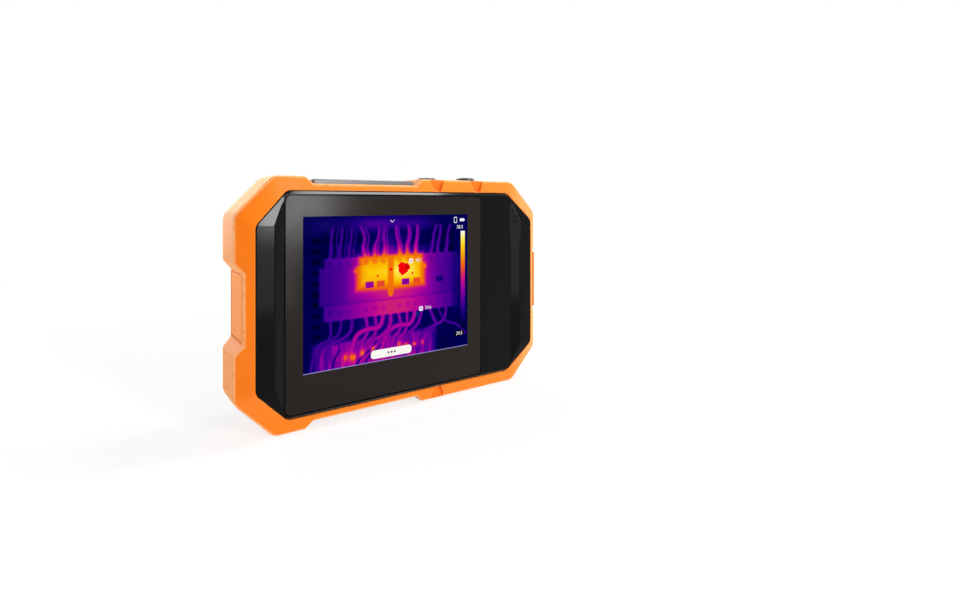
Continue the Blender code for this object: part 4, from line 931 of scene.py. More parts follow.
def upper_cables(y):
    """Twelve wires with sleeves from the rail to the terminals, warmer downwards, and twelve behind them."""
    rows = np.linspace(WIRES_TOP, CABINET_TOP + 0.4, 6)
    way = (rows - rows[0]) / (rows[-1] - rows[0])
    sway = SWAY_UP[:, None] * np.sin(2 * np.pi * way)
    sides = TERMINALS[:, None] + LEAN_UP[:, None] * (1 - way) ** 1.3 + sway
    lines = np.stack([sides, np.tile(rows, (len(sides), 1))], -1)
    heat = 0.7 + 0.5 * np.clip((y - WIRES_TOP) / (CABINET_TOP - WIRES_TOP), 0, 1)
    levels = [0.23 + 0.22 * load * heat for load in GROUP_LOAD]
    behind = [(line * (0.96, 1.0) + (2.6, 0.0), 0.4, 0.8 * level) for line, level in zip(lines, levels)]
    sleeves = [(line[3:], 0.85, 0.95 * level) for line, level in zip(lines, levels)]
    return behind + sleeves + [(line, 0.55, level) for line, level in zip(lines, levels)]


print("terminals:", np.round(TERMINALS, 1).tolist())

# %% [markdown]
# Behind the cabinet is a cool wall with a rail along the top, dark openings behind the wires and slots at
# the left. At the bottom the many cables run together, so they are not drawn one by one: waves of uneven
# width stand for the strands, and a few glows for the warm ones among them.

# %% Wall and bundled cables of the thermal picture
WALL_WARMTH = 0.08
RAIL_AT = (33.0, 2.9)
OPENINGS = ((6.4, 10.1), (11.0, 15.0))
BUNDLE_TOP = 44.0
BLOBS = (
    (15.8, 49.9, 1.1, 1.7), (18.9, 50.2, 1.3, 1.5), (22.6, 49.4, 1.1, 1.6), (26.8, 48.0, 1.2, 1.0),
    (38.2, 48.2, 0.8, 1.0), (41.0, 48.7, 1.0, 0.8), (45.0, 49.1, 1.1, 0.8), (48.6, 48.9, 0.8, 1.1),
)


def background(x, y):
    """A cool wall, a warmer rail on top, dark openings behind the wires and slots at the left."""
    warmth = WALL_WARMTH + 0.02 * np.sin(0.3 * x) * np.sin(0.4 * y)
    warmth = warmth + 0.07 * glow(x, y, (64.0, 25.0), 6.0, 12.0)
    warmth = warmth + 0.19 * glow(x, y, RAIL_AT, 20.0, 2.6)
    dark = 0.04 + 0.1 * glow(x, y, (37.0, 10.0), 15.0, 9.0)
    for top, bottom in OPENINGS:
        warmth = paint(warmth, patch(x, y, 7.0, 64.0, top, bottom, 0.7), dark)
    slots = patch(x, y, 3.2, 6.3, 6.0, 41.5, 1.0) * soft_step(np.sin(y * 1.7), 0.1, 1.2)
    warmth = paint(warmth, 0.8 * slots, 0.01)
    foot = 0.07 + 0.1 * glow(x, y, (33.0, 40.0), 16.0, 6.0)
    return paint(warmth, patch(x, y, 7.0, 62.0, 36.0, BUNDLE_TOP, 1.5), foot)


def bundles(x, y, warmth):
    """Upright strands at the bottom: a sum of three waves across, leaning a little, warm in the middle."""
    lean = x + 0.12 * (y - BUNDLE_TOP) * np.sin(0.4 * x)
    strands = np.sin(2.3 * lean) + np.sin(1.1 * lean - 0.5 * y) + np.sin(3.7 * lean + 0.9 * np.sin(0.8 * y))
    mass = 0.34 + 0.03 * strands + 0.09 * glow(x, y, (27.0, 50.0), 17.0, 6.0)
    across = soft_step(x, 4.0, 5.0) * (1 - soft_step(x, 54.5, 5.0))
    warmth = paint(warmth, soft_step(y, BUNDLE_TOP, 2.4) * across, mass)
    return warmth + 0.06 * patch(x, y, 14.0, 49.0, 51.6, 60.0, 1.5)


print("warm cables in the bundles:", len(BLOBS))

# %% [markdown]
# Heat spreads. So the breakers are not painted with sharp edges: the warmth depends on the distance
# from their outline, low well outside, orange at the edge, and yellow further in. The cabinet takes
# some of it too and is magenta near them, violet at its ends.

# %% Cabinet and hot breakers of the thermal picture
TIERS = ((7.8, 67.0, 14.7, 18.2, -0.02), (5.8, 67.0, 17.9, 31.2, -0.03), (7.5, 66.0, 31.0, 36.6, 0.0))
HOLE_ROWS = (16.9, 33.8)
HOLE_R = 0.62
HOT_STEPS = (-4.4, -1.5, -0.2, 0.7, 2.6, 5.4)
HOT_SHARES = (0.0, 0.11, 0.46, 0.64, 0.86, 1.0)
HOTTEST_AT = (40.0, 20.5)
BAR_WARMTH = 0.68
BAR_END = (34.5, 29.2)
LABEL_W = 3.3
LABELS = ((23.9, 0.41), (28.6, 0.61), (39.4, 0.38), (44.6, 0.62), (55.4, 0.16))


def cabinet(x, y, warmth):
    """The three tiers, warmer towards the middle, with rings round the screw holes."""
    body = 0.2 + 0.34 * np.exp(-(((x - 36.0) / 22.0) ** 2))
    ends = 1 - 0.75 * soft_step(x, 63.5, 5.0)
    for left, right, top, bottom, shift in TIERS:
        warmth = paint(warmth, ends * patch(x, y, left, right, top, bottom, 0.8), body + shift)
    warmth = warmth - 0.03 * patch(x, y, 6, 65, 30.6, 31.1, 0.4)
    for row in HOLE_ROWS:
        away = np.hypot(x - TERMINALS[:, None], y - row).min(0)
        warmth = warmth - 0.055 * glow(away, 0 * y, (HOLE_R, 0), 0.3, 1)
    return warmth


def hot_breakers(x, y, warmth):
    """Warmth by the distance inside the outline, hotter round the alarm, with labels and a bar between."""
    block = np.minimum(np.minimum(x - 20.4, 49.5 - x), np.minimum(y - 15.0, 26.5 - y))
    shoulder = np.minimum(np.minimum(x - 21.6, 48.4 - x), y - 14.6)
    inside = np.where(y < 18.0, np.minimum(block, shoulder), block)
    share = np.interp(inside, HOT_STEPS, HOT_SHARES)
    hottest = 0.84 + 0.1 * glow(x, y, HOTTEST_AT, 6.0, 5.0)
    warmth = warmth + share * (hottest - warmth)
    warmth = paint(warmth, 0.9 * patch(x, y, 33.2, 35.8, 15.0, BAR_END[1], 0.9), BAR_WARMTH)
    for left, level in LABELS:
        warmth = paint(warmth, patch(x, y, left, left + LABEL_W, 23.9, 26.1, 0.4), level)
    for side in (19.5, 50.1):
        warmth = warmth + 0.14 * glow(x, y, (side, 19.7), 0.8, 0.8)
    for hole_x in TERMINALS[3:9]:
        ring = np.hypot(x - hole_x, y - HOLE_ROWS[0])
        warmth = warmth - 0.1 * glow(ring, 0 * y, (HOLE_R, 0), 0.25, 1)
    return paint(warmth, 1 - soft_step(np.hypot(x - BAR_END[0], y - BAR_END[1]), 0.85, 0.5), BAR_WARMTH)


def scene_warmth(x, y):
    """Warmth from 0 to 1 at points x, y in millimetres from the picture's upper left corner."""
    warmth = draw_cables(x, y, background(x, y), upper_cables(y), 0.35)
    warmth = warmth + 0.17 * glow(x, y, (35.0, 15.0), 13.0, 2.8) + 0.1 * glow(x, y, (34.6, 11.4), 1.8, 3.4)
    warmth = draw_cables(x, y, bundles(x, y, warmth), LOWER_ROUTES)
    for at_x, at_y, wide, high in BLOBS:
        warmth = warmth + 0.3 * glow(x, y, (at_x, at_y), wide, high)
    return np.clip(hot_breakers(x, y, cabinet(x, y, warmth)), 0, 1)


print("labels:", len(LABELS), "cables:", len(LOWER_ROUTES))

# %% [markdown]
# A display is a light of its own. The palette therefore feeds the emission, at a strength of 1 so that
# a colour comes out as it is written, and the surface underneath is black polished glass, which lets
# the room's reflections lie over the picture as they do over the border.

# %% Picture on the display
PALETTE = (
    (0.00, (0, 0, 18)), (0.10, (0, 0, 84)), (0.20, (32, 0, 128)), (0.30, (82, 0, 151)),
    (0.41, (143, 0, 156)), (0.49, (188, 8, 146)), (0.56, (212, 36, 104)), (0.62, (232, 76, 28)),
    (0.70, (243, 122, 3)), (0.84, (252, 200, 5)), (0.92, (255, 232, 80)), (1.00, (255, 255, 236)),
)
PICTURE_COLUMNS = 340
PICTURE_ROWS = 255
SCREEN_GLASS = {"Base Color": (0.0, 0.0, 0.0, 1.0), "IOR": 1.02, "Emission Strength": 1.0}


def lit_palette():
    """Warmth from the mesh's attribute through the palette into emission, under black polished glass."""
    look, tree, shader = new_look("lit_palette", {**SCREEN_GLASS, "Roughness": 0.06})
    warmth = add_node(tree, "Attribute", {}, attribute_name="warmth").outputs["Fac"]
    stops = [(at, linear(*levels)) for at, levels in PALETTE]
    feed(tree, shader, {"Emission Color": through_ramp(tree, warmth, stops)})
    return look


def thin_sheet(name, left, right, top, bottom, columns, rows, front, back):
    """A flat grid facing the viewer with a skirt and a back: the edge points again, further in."""
    x, z = np.meshgrid(np.linspace(left, right, columns), np.linspace(top, bottom, rows))
    points = np.stack([x, np.full(x.shape, front), z], -1).reshape(-1, 3)
    number = np.arange(rows * columns).reshape(rows, columns)
    edge = np.r_[number[0, :-1], number[:-1, -1], number[-1, :0:-1], number[:0:-1, 0]]
    skirt = points[edge] + (0, back - front, 0)
    behind = np.arange(len(edge)) + len(points)
    walls = np.stack([edge, np.roll(edge, -1), np.roll(behind, -1), behind], -1)
    faces = [*grid_faces(rows, columns), *walls, behind]
    return new_piece(name, np.concatenate([points, skirt]), faces, 0.0)


def mesh_points(mesh):
    """All points of a mesh as one array (n, 3)."""
    flat = np.empty(len(mesh.vertices) * 3)
    mesh.vertices.foreach_get("co", flat)
    return flat.reshape(-1, 3)


def keep_warmth(piece, warmth_of):
    """Store a warmth for each of a mesh's points, from x to the right and y downwards on the picture."""
    body = (mesh_points(piece.data) - BODY_ORIGIN) / MM
    values = warmth_of(body[:, 0] - PICTURE_LEFT, PICTURE_TOP - body[:, 2])
    piece.data.attributes.new("warmth", "FLOAT", "POINT").data.foreach_set("value", values)
    return values


palette_look = lit_palette()
picture = thin_sheet(
    "thermal_picture", PICTURE_LEFT, PICTURE_RIGHT, PICTURE_TOP, PICTURE_BOTTOM,
    PICTURE_COLUMNS, PICTURE_ROWS, 0.0, GLASS_T,
)
shown = keep_warmth(picture, scene_warmth)
dress(picture, palette_look, "cover_glass", "touch_glass", crisp=False)
print(f"warmth from {shown.min():.2f} to {shown.max():.2f}")

# %% [markdown]
# Over the picture lie the marks of a plain menu: a pull-down arrow, a phone and a battery, the scale
# with its two readings, a menu button, two markers and the alarm area. Each is a thin solid that stands
# a few hundredths of a millimetre out of the glass. Outlines come from the same arrays as the pieces.

# %% Marks on the screen
INK_STEP = 0.012
WHITE_INK = (245, 245, 248)
RED_INK = (244, 6, 10)
BLUE_INK = (20, 60, 200)
ink = {"points": [], "faces": [], "levels": []}


def on_screen(outline):
    """Points in millimetres right of and below the picture's corner, as (x, z) of the body."""
    return np.asarray(outline, float) * (1, -1) + (PICTURE_LEFT, PICTURE_TOP)


def add_ink(points, faces, levels):
    """Add a solid's points and faces to the marks, in one colour."""
    first = sum(len(block) for block in ink["points"])
    ink["points"].append(points)
    ink["faces"] += [np.asarray(face) + first for face in faces]
    ink["levels"].append(np.tile((*linear(*levels), 1.0), (len(points), 1)))


def stamp(outline, levels, layer=1):
    """A flat mark: its outline in front of the glass and again just inside it, with walls between."""
    flat = on_screen(outline)
    n = len(flat)
    points = np.concatenate([at_depth(flat, -INK_STEP * layer), at_depth(flat, INK_STEP)])
    faces = [np.arange(n), np.arange(n)[::-1] + n, *grid_faces(2, n, False, True)]
    add_ink(points, faces, levels)


def stamp_ring(outer, inner, levels, layer=1):
    """A flat ring between two outlines with equal numbers of points."""
    outer, inner = on_screen(outer), on_screen(inner)
    front, back = -INK_STEP * layer, INK_STEP
    loops = np.stack(
        [at_depth(outer, back), at_depth(outer, front), at_depth(inner, front), at_depth(inner, back)]
    )
    add_ink(loops.reshape(-1, 3), list(grid_faces(4, len(outer), True, True)), levels)


print(f"each layer of ink stands {INK_STEP} mm further out")

# %% [markdown]
# Only the digits are Blender text, because a font is a set of outlines already. The text is made a mesh
# before it is put in place, and its holder is thrown away. Arrows are bent bands, and the pointers of the
# markers are squares on their corner.

# %% Digits, strokes and diamonds
def stamp_digits(text, at, size, levels, layer=1):
    """Digits as a text curve made a mesh: its x to the right, its y upwards, its thickness forwards."""
    font = bpy.data.curves.new("digits", "FONT")
    font.body = text
    font.size = size
    font.align_x = "CENTER"
    font.align_y = "CENTER"
    font.extrude = INK_STEP * layer
    holder = bpy.data.objects.new("digits", font)
    bpy.context.scene.collection.objects.link(holder)
    view = bpy.context.evaluated_depsgraph_get()
    shape = bpy.data.meshes.new_from_object(holder.evaluated_get(view))
    co = mesh_points(shape)
    middle = on_screen([at])[0]
    points = np.stack([co[:, 0] + middle[0], -co[:, 2], co[:, 1] + middle[1]], -1)
    add_ink(points, [list(face.vertices) for face in shape.polygons], levels)
    bpy.data.objects.remove(holder)


def stroke(points, wide):
    """A bent line of three points as a band: each point moved half a width to either side."""
    p = np.asarray(points, float)
    way = np.gradient(p, axis=0)
    way /= np.linalg.norm(way, axis=1, keepdims=True)
    side = np.stack([way[:, 1], -way[:, 0]], -1) * wide / 2
    return np.concatenate([p + side, (p - side)[::-1]])


def diamond(at, half):
    """A square on its corner."""
    return np.array([(half, 0), (0, half), (-half, 0), (0, -half)]) + at


print("helpers for the marks made")

# %% [markdown]
# The places are those of the real menu, measured on the screen. The alarm area is where the picture is
# hottest: a red patch with a ragged edge, its radius a sum of three cosines of the angle.

# %% Menu, scale, markers and alarm
SCALE_LEFT, SCALE_RIGHT, SCALE_TOP, SCALE_BOTTOM = 67.6, 69.7, 6.7, 46.2
ARROW = ((34.3, 1.7), (35.2, 2.6), (36.1, 1.7))
PHONE_AT = (64.9, 2.2)
BATTERY_AT = (68.2, 2.2)
MOST_AT = (67.1, 5.1)
LEAST_AT = (66.8, 47.9)
PILL_AT = (34.9, 50.6)
ALARM_AT = (40.2, 19.9)
HOT_AT = (43.5, 17.4)
COLD_AT = (48.1, 36.0)
DIGITS = 1.9
LABEL_DIGITS = 1.7
PLATE_INK = (6, 4, 30)
PILL_INK = (250, 247, 240)
DOT_INK = (40, 44, 60)
EDGE_INK = (150, 140, 210)
POINTERS = (((41.7, 19.4), (120, 0, 20)), ((46.3, 37.9), (20, 60, 140)))
SPARKS = (((34.6, 20.0), 0.8, 0.55), ((28.9, 22.0), 0.42, 0.4), ((44.1, 22.0), 0.42, 0.5))


def ragged(at, wide, high, steps=40):
    """A patch whose radius is 1 + 0.12 cos 3a + 0.07 cos 7a + 0.05 sin 11a, stretched to its size."""
    a = np.linspace(0, 2 * np.pi, steps, endpoint=False)
    r = 1 + 0.12 * np.cos(3 * a + 0.6) + 0.07 * np.cos(7 * a) + 0.05 * np.sin(11 * a)
    return np.stack([at[0] + wide * r * np.cos(a), at[1] + high * r * np.sin(a)], -1)


stamp(stroke(ARROW, 0.22), WHITE_INK)
stamp_ring(soft_box(1.55, 2.4, 0.4, PHONE_AT), soft_box(1.15, 1.8, 0.2, PHONE_AT), WHITE_INK)
stamp(soft_box(2.1, 1.2, 0.3, BATTERY_AT), WHITE_INK)
stamp(soft_box(0.35, 0.7, 0.1, (BATTERY_AT[0] + 1.25, BATTERY_AT[1])), WHITE_INK)
stamp_digits("38.5", MOST_AT, DIGITS, WHITE_INK)
stamp(soft_box(4.9, 2.2, 0.2, LEAST_AT), PLATE_INK)
stamp_digits("24.5", LEAST_AT, DIGITS, WHITE_INK, 2)
stamp(soft_box(17.6, 3.1, 1.5, PILL_AT), PILL_INK)
for step in (-1.4, 0.0, 1.4):
    stamp(circle(0.4, (PILL_AT[0] + step, PILL_AT[1]), 20), DOT_INK, 2)
stamp(ragged(ALARM_AT, 2.6, 2.3), RED_INK)
for at, wide, high in SPARKS:
    stamp(ragged(at, wide, high, 20), RED_INK)
for at, text, levels, way in ((HOT_AT, "38.2", RED_INK, -1), (COLD_AT, "24.6", BLUE_INK, 1)):
    stamp(soft_box(1.7, 1.7, 0.25, at), WHITE_INK, 2)
    stamp(np.array([(-0.5, -0.35 * way), (0.5, -0.35 * way), (0.0, 0.45 * way)]) + at, levels, 3)
    stamp_digits(text, (at[0] + 3.4, at[1] - 0.1), LABEL_DIGITS, WHITE_INK, 2)
for at, levels in POINTERS:
    stamp_ring(diamond(at, 0.95), diamond(at, 0.6), levels, 2)
stamp(soft_box(PICTURE_W, 0.25, 0.05, (PICTURE_W / 2, PICTURE_H - 0.13)), EDGE_INK)
marks = new_piece("screen_marks", np.concatenate(ink["points"]), ink["faces"], 0.0)
colours = marks.data.attributes.new("ink", "FLOAT_COLOR", "POINT")
colours.data.foreach_set("color", np.concatenate(ink["levels"]).ravel())
print("marks:", len(ink["points"]))

# %% [markdown]
# The marks shine like the picture, each in its own colour, which an attribute carries. The scale is a
# second small sheet with the same palette as the picture: its warmth simply falls from top to bottom.

# %% Light of the marks and the scale
def lit_ink():
    """The attribute's colour as emission over black."""
    look, tree, shader = new_look("lit_ink", SCREEN_GLASS)
    colour = add_node(tree, "Attribute", {}, attribute_name="ink").outputs["Color"]
    feed(tree, shader, {"Emission Color": colour})
    return look


dress(marks, lit_ink(), "cover_glass", "touch_glass", crisp=False)
scale = thin_sheet(
    "temperature_scale", PICTURE_LEFT + SCALE_LEFT, PICTURE_LEFT + SCALE_RIGHT, PICTURE_TOP - SCALE_TOP,
    PICTURE_TOP - SCALE_BOTTOM, 3, 60, -INK_STEP, INK_STEP,
)
keep_warmth(scale, lambda x, y: 1.0 - (y - SCALE_TOP) / (SCALE_BOTTOM - SCALE_TOP) * 0.98)
dress(scale, palette_look, "cover_glass", "touch_glass", crisp=False)

# %% [markdown]
# The trim panel in the top notch is a satin grey bar. Plates like this one, the flap and the optics
# cover all have the same build: a soft rectangle whose size shrinks by a quarter circle towards its
# outer face, so the edge is round and the face stays flat.

# %% Trim panel
def quarter(edge, top, way, steps=5):
    """Inset and depth along a round edge: edge (1 - cos a) inwards, top - way edge (1 - sin a)."""
    a = np.linspace(0, np.pi / 2, steps + 1)
    return list(zip(edge * (1 - np.cos(a)), top - way * edge * (1 - np.sin(a))))


def plate(name, axis, size, radius, middle, profile, steps=8):
    """A soft rectangle at each (inset, depth) of a profile, lofted and capped."""
    loops = [
        along(axis, soft_box(size[0] - 2 * inset, size[1] - 2 * inset, radius - inset, middle, steps), depth)
        for inset, depth in profile
    ]
    return loft(name, loops)


TRIM_EDGE = 0.6
TRIM_FOOT, TRIM_FACE = extent("z", "top_trim")
grey_satin = moulded("grey_satin", (92, 90, 90), (0.26, 0.34), 0.25, 0.002)
trim_line = [(0.0, TRIM_FOOT), *quarter(TRIM_EDGE, TRIM_FACE, 1)]
trim = plate("trim_panel", "z", trim_size, TRIM_R, trim_at, trim_line)
dress(trim, grey_satin, "trim_plastic", "top_trim")

# %% [markdown]
# The two buttons are turned pucks with a flange that keeps them in the bumper and a stem that reaches
# the switch. The power button is dished, so that a finger finds it without looking, and the capture
# button stands higher and is slightly domed. A profile turned about a vertical axis gives both.

# %% Buttons
FLANGE_T = 1.1
STEM_R = 1.5
BUTTON_EDGE = 0.7
POWER_DISH = -0.3
CAPTURE_DOME = 0.25
dark_button = moulded("dark_button", (58, 55, 54), (0.34, 0.44), 0.25, 0.003)
black_button = moulded("black_button", (38, 38, 40), (0.3, 0.4), 0.25, 0.003)


def round_rim(radius, edge, top, steps=5):
    """Radius and depth along the round outer edge of something turned."""
    return [(radius - inset, depth) for inset, depth in quarter(edge, top, 1, steps)]


def button_profile(low, top, crown):
    """Radius and height from the stem's end to the middle of the crown, which rises or dips by `crown`.

    On the crown the height is top + crown (1 - (r / R)^2), R being the radius inside the round edge.
    """
    flat = BUTTON_R - BUTTON_EDGE
    rim = top - max(crown, 0)
    inner = np.linspace(flat, 0, 9)[1:]
    flange_foot = FLANGE_TOP - FLANGE_T
    return [
        (0.0, low), (STEM_R, low), (STEM_R, flange_foot), (FLANGE_R, flange_foot), (FLANGE_R, FLANGE_TOP),
        (BUTTON_R, FLANGE_TOP), *round_rim(BUTTON_R, BUTTON_EDGE, rim),
        *zip(inner, rim + crown * (1 - (inner / flat) ** 2)),
    ]


BUTTONS = (("power", POWER_X, POWER_DISH, dark_button), ("capture", CAPTURE_X, CAPTURE_DOME, black_button))
for name, x, crown, look in BUTTONS:
    low, top = extent("z", f"{name}_button")
    cap = turned(f"{name}_cap", "z", button_profile(low, top, crown), (x, BUTTON_Y))
    dress(cap, look, f"{name}_button_plastic", f"{name}_button")

# %% [markdown]
# The port flap is rubber like the bumper and lies flush in the left notch, so only its fine outline
# shows. Its plug fills the mouth of the port behind it. One chain of soft rectangles makes both: the
# plug's end, its wall, the step to the flap, the flap's wall and its round outer edge.

# %% Port flap
PLUG_EDGE = 0.8
FLAP_EDGE = 0.45
PLUG_TAPER = 0.3
PLUG_R = 1.0
plug_size = np.array(PORT_SIZE) - 2 * PLUG_EDGE
flap_chain = [
    (plug_size - 2 * PLUG_TAPER, PLUG_R - PLUG_TAPER, FLAP_IN),
    (plug_size, PLUG_R, FLAP_IN - PLUG_TAPER),
    (plug_size, PLUG_R, FLAP_OUT + FLAP_T),
    (flap_size, FLAP_R, FLAP_OUT + FLAP_T),
]
for inset, depth in quarter(FLAP_EDGE, FLAP_OUT, -1):
    flap_chain.append((flap_size - 2 * inset, FLAP_R - inset, depth))
flap_loops = [along("x", soft_box(*size, radius, flap_at), x) for size, radius, x in flap_chain]
flap = loft("port_flap_panel", flap_loops)
flap_look = rubber("flap_rubber_orange", (242, 114, 6), (0.4, 0.52))
dress(flap, flap_look, "flap_rubber", "port_flap")

# %% [markdown]
# A strap threads behind a small bridge in the right notch. It is a bent bar with two feet on the notch's
# floor: a flat outline pushed along the depth, its corners rounded by the outline and its edges by a
# Bevel modifier.

# %% Strap bar
BAR_LOW, BAR_HIGH = span("strap_bar")
BAR_T = 1.7
BAR_FOOT = 0.9
BAR_OVER = 1.1
BAR_EDGE = 0.6
BAR_SOFT = 0.35
BAR_CREASE = math.radians(60)


def bar_outline():
    """The bridge seen from the front: crown, slanting ends and feet, mirrored about the middle."""
    foot = SIDE_FLOOR / 2 - GAP
    tip = foot + BAR_OVER
    ramp = (SIDE_OPEN - SIDE_FLOOR) / 2 / SIDE_NOTCH
    low, high = BAR_LOW[0], BAR_HIGH[0]
    half = np.array([
        (high, tip - BAR_EDGE), (high - BAR_EDGE, tip), (low + BAR_OVER / ramp, tip), (low, foot),
        (low, foot - BAR_FOOT), (high - BAR_T, foot - BAR_FOOT),
    ])
    corners = np.concatenate([half, half[::-1] * (1, -1)])
    return rounded(corners, BAR_SOFT, 4).reshape(-1, 2)


bar = prism("strap_bridge", "y", bar_outline(), BAR_LOW[1], BAR_HIGH[1])
edges = bar.modifiers.new("soft edges", "BEVEL")
edges.width = BAR_SOFT * MM
edges.segments = 3
edges.limit_method = "ANGLE"
edges.angle_limit = BAR_CREASE
bar_look = moulded("bar_orange", (228, 106, 8), (0.36, 0.48), 0.28, 0.003, 0.03, 0.12)
dress(bar, bar_look, "bar_plastic", "strap_bar")

# %% [markdown]
# The rear housing closes the body from behind: a black tray with a softened edge, openings for the
# optics, four sunken screws and slots for the speaker. Its wall follows the same eight-cornered outline
# as the front, so a chain of outlines that shrink towards the back gives the shell inside and out.

# %% Rear housing
REAR_Y, BODY_DEPTH = extent("y", "rear_housing")
WALL = 2.4
BACK_WALL = 1.8
BACK_BEVEL = 2.2
BACK_SOFT = 1.6
BACK_RUN = 4.0


def rear_chain():
    """Outlines from the inner back to the outer back: (grow, depth) with the outer edges rounded."""
    inner = [(-WALL, BODY_DEPTH - BACK_WALL), (-WALL, REAR_Y)]
    edge = np.array([
        (0.0, REAR_Y, 0), (0.0, BODY_DEPTH - BACK_BEVEL, 0), (-BACK_BEVEL, BODY_DEPTH, 0),
        (-BACK_BEVEL - BACK_RUN, BODY_DEPTH, 0),
    ])
    outer = soft_profile(edge[None], (0, BACK_SOFT, BACK_SOFT, 0), 6)[0, :, :2]
    return np.stack([along("y", shell_loop(grow), depth) for grow, depth in [*inner, *outer]])


rear = loft("rear_housing_shell", rear_chain())
print("rear housing chain:", rear_chain().shape)

# %% [markdown]
# Openings and posts are joined and cut with one Boolean stack. A recess for a screw is a small turned
# cutter with a flared mouth, so that its edge is broken as on the real moulding. The speaker's slots
# have round ends: they are soft boxes whose radius is half their width.

# %% Openings of the rear housing
SCREWS = [f"housing_screw_{k}" for k in (1, 2, 3, 4)]
SCREW_PLACES = [seen_along("y", screw)[0] for screw in SCREWS]
SCREW_FOOT, SCREW_TOP = extent("y", SCREWS[0])
POST_R = 3.0
POST_START = 0.2
POST_ROOT = 0.5
HEAD_R = 2.2
HEAD_T = 1.6
SHAFT_R = 1.1
SHAFT_END = 0.5
LENS_AT = seen_along("y", "lens_barrel")[0]
CAMERA_AT = seen_along("y", "visible_window")[0]
TORCH_AT = seen_along("y", "torch_lens")[0]
SPEAKER_AT = seen_along("y", "speaker")[0]
BARREL_R = 7.5
CAMERA_R = 2.8
TORCH_R = 2.3
SLOT_SIZE = (8.0, 1.2)
SLOT_R = 0.55
SLOT_PITCH = 2.8
FLARE = 0.35


def flared_hole(name, radius, at, low, face):
    """A round cutter along the depth whose mouth widens by FLARE at the face."""
    mouth = face + FLARE
    profile = [(0, low), (radius, low), (radius, face - FLARE), (radius + 2 * FLARE, mouth), (0, mouth)]
    return turned(name, "y", profile, at, 48)


inside = BODY_DEPTH - BACK_WALL - PAST
behind = BODY_DEPTH + PAST
head_seat = SCREW_TOP - HEAD_T - GAP
post_end = BODY_DEPTH - BACK_WALL + POST_ROOT
posts = [prism("post", "y", circle(POST_R, at, 32), REAR_Y + POST_START, post_end) for at in SCREW_PLACES]
rear_cuts = [flared_hole("recess", HEAD_R + GAP, at, head_seat, BODY_DEPTH) for at in SCREW_PLACES]
for at in SCREW_PLACES:
    rear_cuts.append(prism("shaft", "y", circle(SHAFT_R + GAP, at, 24), REAR_Y - PAST, inside + SHAFT_END))
for at, radius in ((LENS_AT, BARREL_R), (CAMERA_AT, CAMERA_R), (TORCH_AT, TORCH_R)):
    rear_cuts.append(prism("opening", "y", circle(radius + GAP, at), inside, behind))
for k in (-1, 0, 1):
    slot = soft_box(*SLOT_SIZE, SLOT_R, SPEAKER_AT + (0, k * SLOT_PITCH))
    rear_cuts.append(prism("sound_slot", "y", slot, inside, behind))
rear_cuts.append(prism("port", "x", port_outline, -HALF_W - PAST, -HALF_W + WALL + PAST))
for x in (POWER_X, CAPTURE_X):
    stem_hole = circle(STEM_R + GAP, (x, BUTTON_Y), 32)
    rear_cuts.append(prism("stem", "z", stem_hole, HALF_H - WALL - PAST, HALF_H + PAST))
waist_hole = circle(WAIST_R + COLLAR_PLAY, insert_at)
rear_cuts.append(prism("thread", "z", waist_hole, -HALF_H - PAST, -HALF_H + WALL + PAST))
carve(rear, *rear_cuts, join=posts)
rear_plastic = moulded("rear_black_plastic", (20, 20, 21), (0.4, 0.52), 0.45, 0.008, gloss=0.3)
dress(rear, rear_plastic, "rear_plastic", "rear_housing")

# %% [markdown]
# The screws have a star-shaped drive. Seen along its axis the recess is a circle whose radius waves six
# times round, so the whole screw is one chain of loops: the shaft, the head with its round edge, then
# the star, first at the head's face and again at the recess's floor.

# %% Housing screws
HEAD_EDGE = 0.5
DRIVE_R = 1.1
DRIVE_WAVE = 0.24
DRIVE_LOOPS = ((1.06, 0.0), (1.0, 0.08), (0.92, 1.0))
SCREW_STEPS = 72
screw_steel = metal("screw_steel", (128, 128, 132), (0.24, 0.34))


def star(scale):
    """Radius DRIVE_R + DRIVE_WAVE cos 6a at each angle, as points round the axis."""
    a = np.linspace(0, 2 * np.pi, SCREW_STEPS, endpoint=False)
    r = scale * (DRIVE_R + DRIVE_WAVE * np.cos(6 * a))
    return np.stack([r * np.cos(a), r * np.sin(a)], -1)


under_head = SCREW_TOP - HEAD_T
rings = [(SHAFT_R, SCREW_FOOT), (SHAFT_R, under_head), (HEAD_R, under_head)]
rings += round_rim(HEAD_R, HEAD_EDGE, SCREW_TOP)
for k, (screw, at) in enumerate(zip(SCREWS, SCREW_PLACES)):
    loops = [along("y", circle(radius, at, SCREW_STEPS), depth) for radius, depth in rings]
    loops += [along("y", star(scale) + at, SCREW_TOP - sunk) for scale, sunk in DRIVE_LOOPS]
    dress(loft(f"star_screw_{k + 1}", loops), screw_steel, "housing_screw_steel", screw)

# %% [markdown]
# The optics sit under one glossy plate on the back: the thermal lens in its barrel with a raised bezel,
# the window of the ordinary camera at its side and the torch at the other. The plate is a soft rectangle
# with a round edge, cut by flared holes.

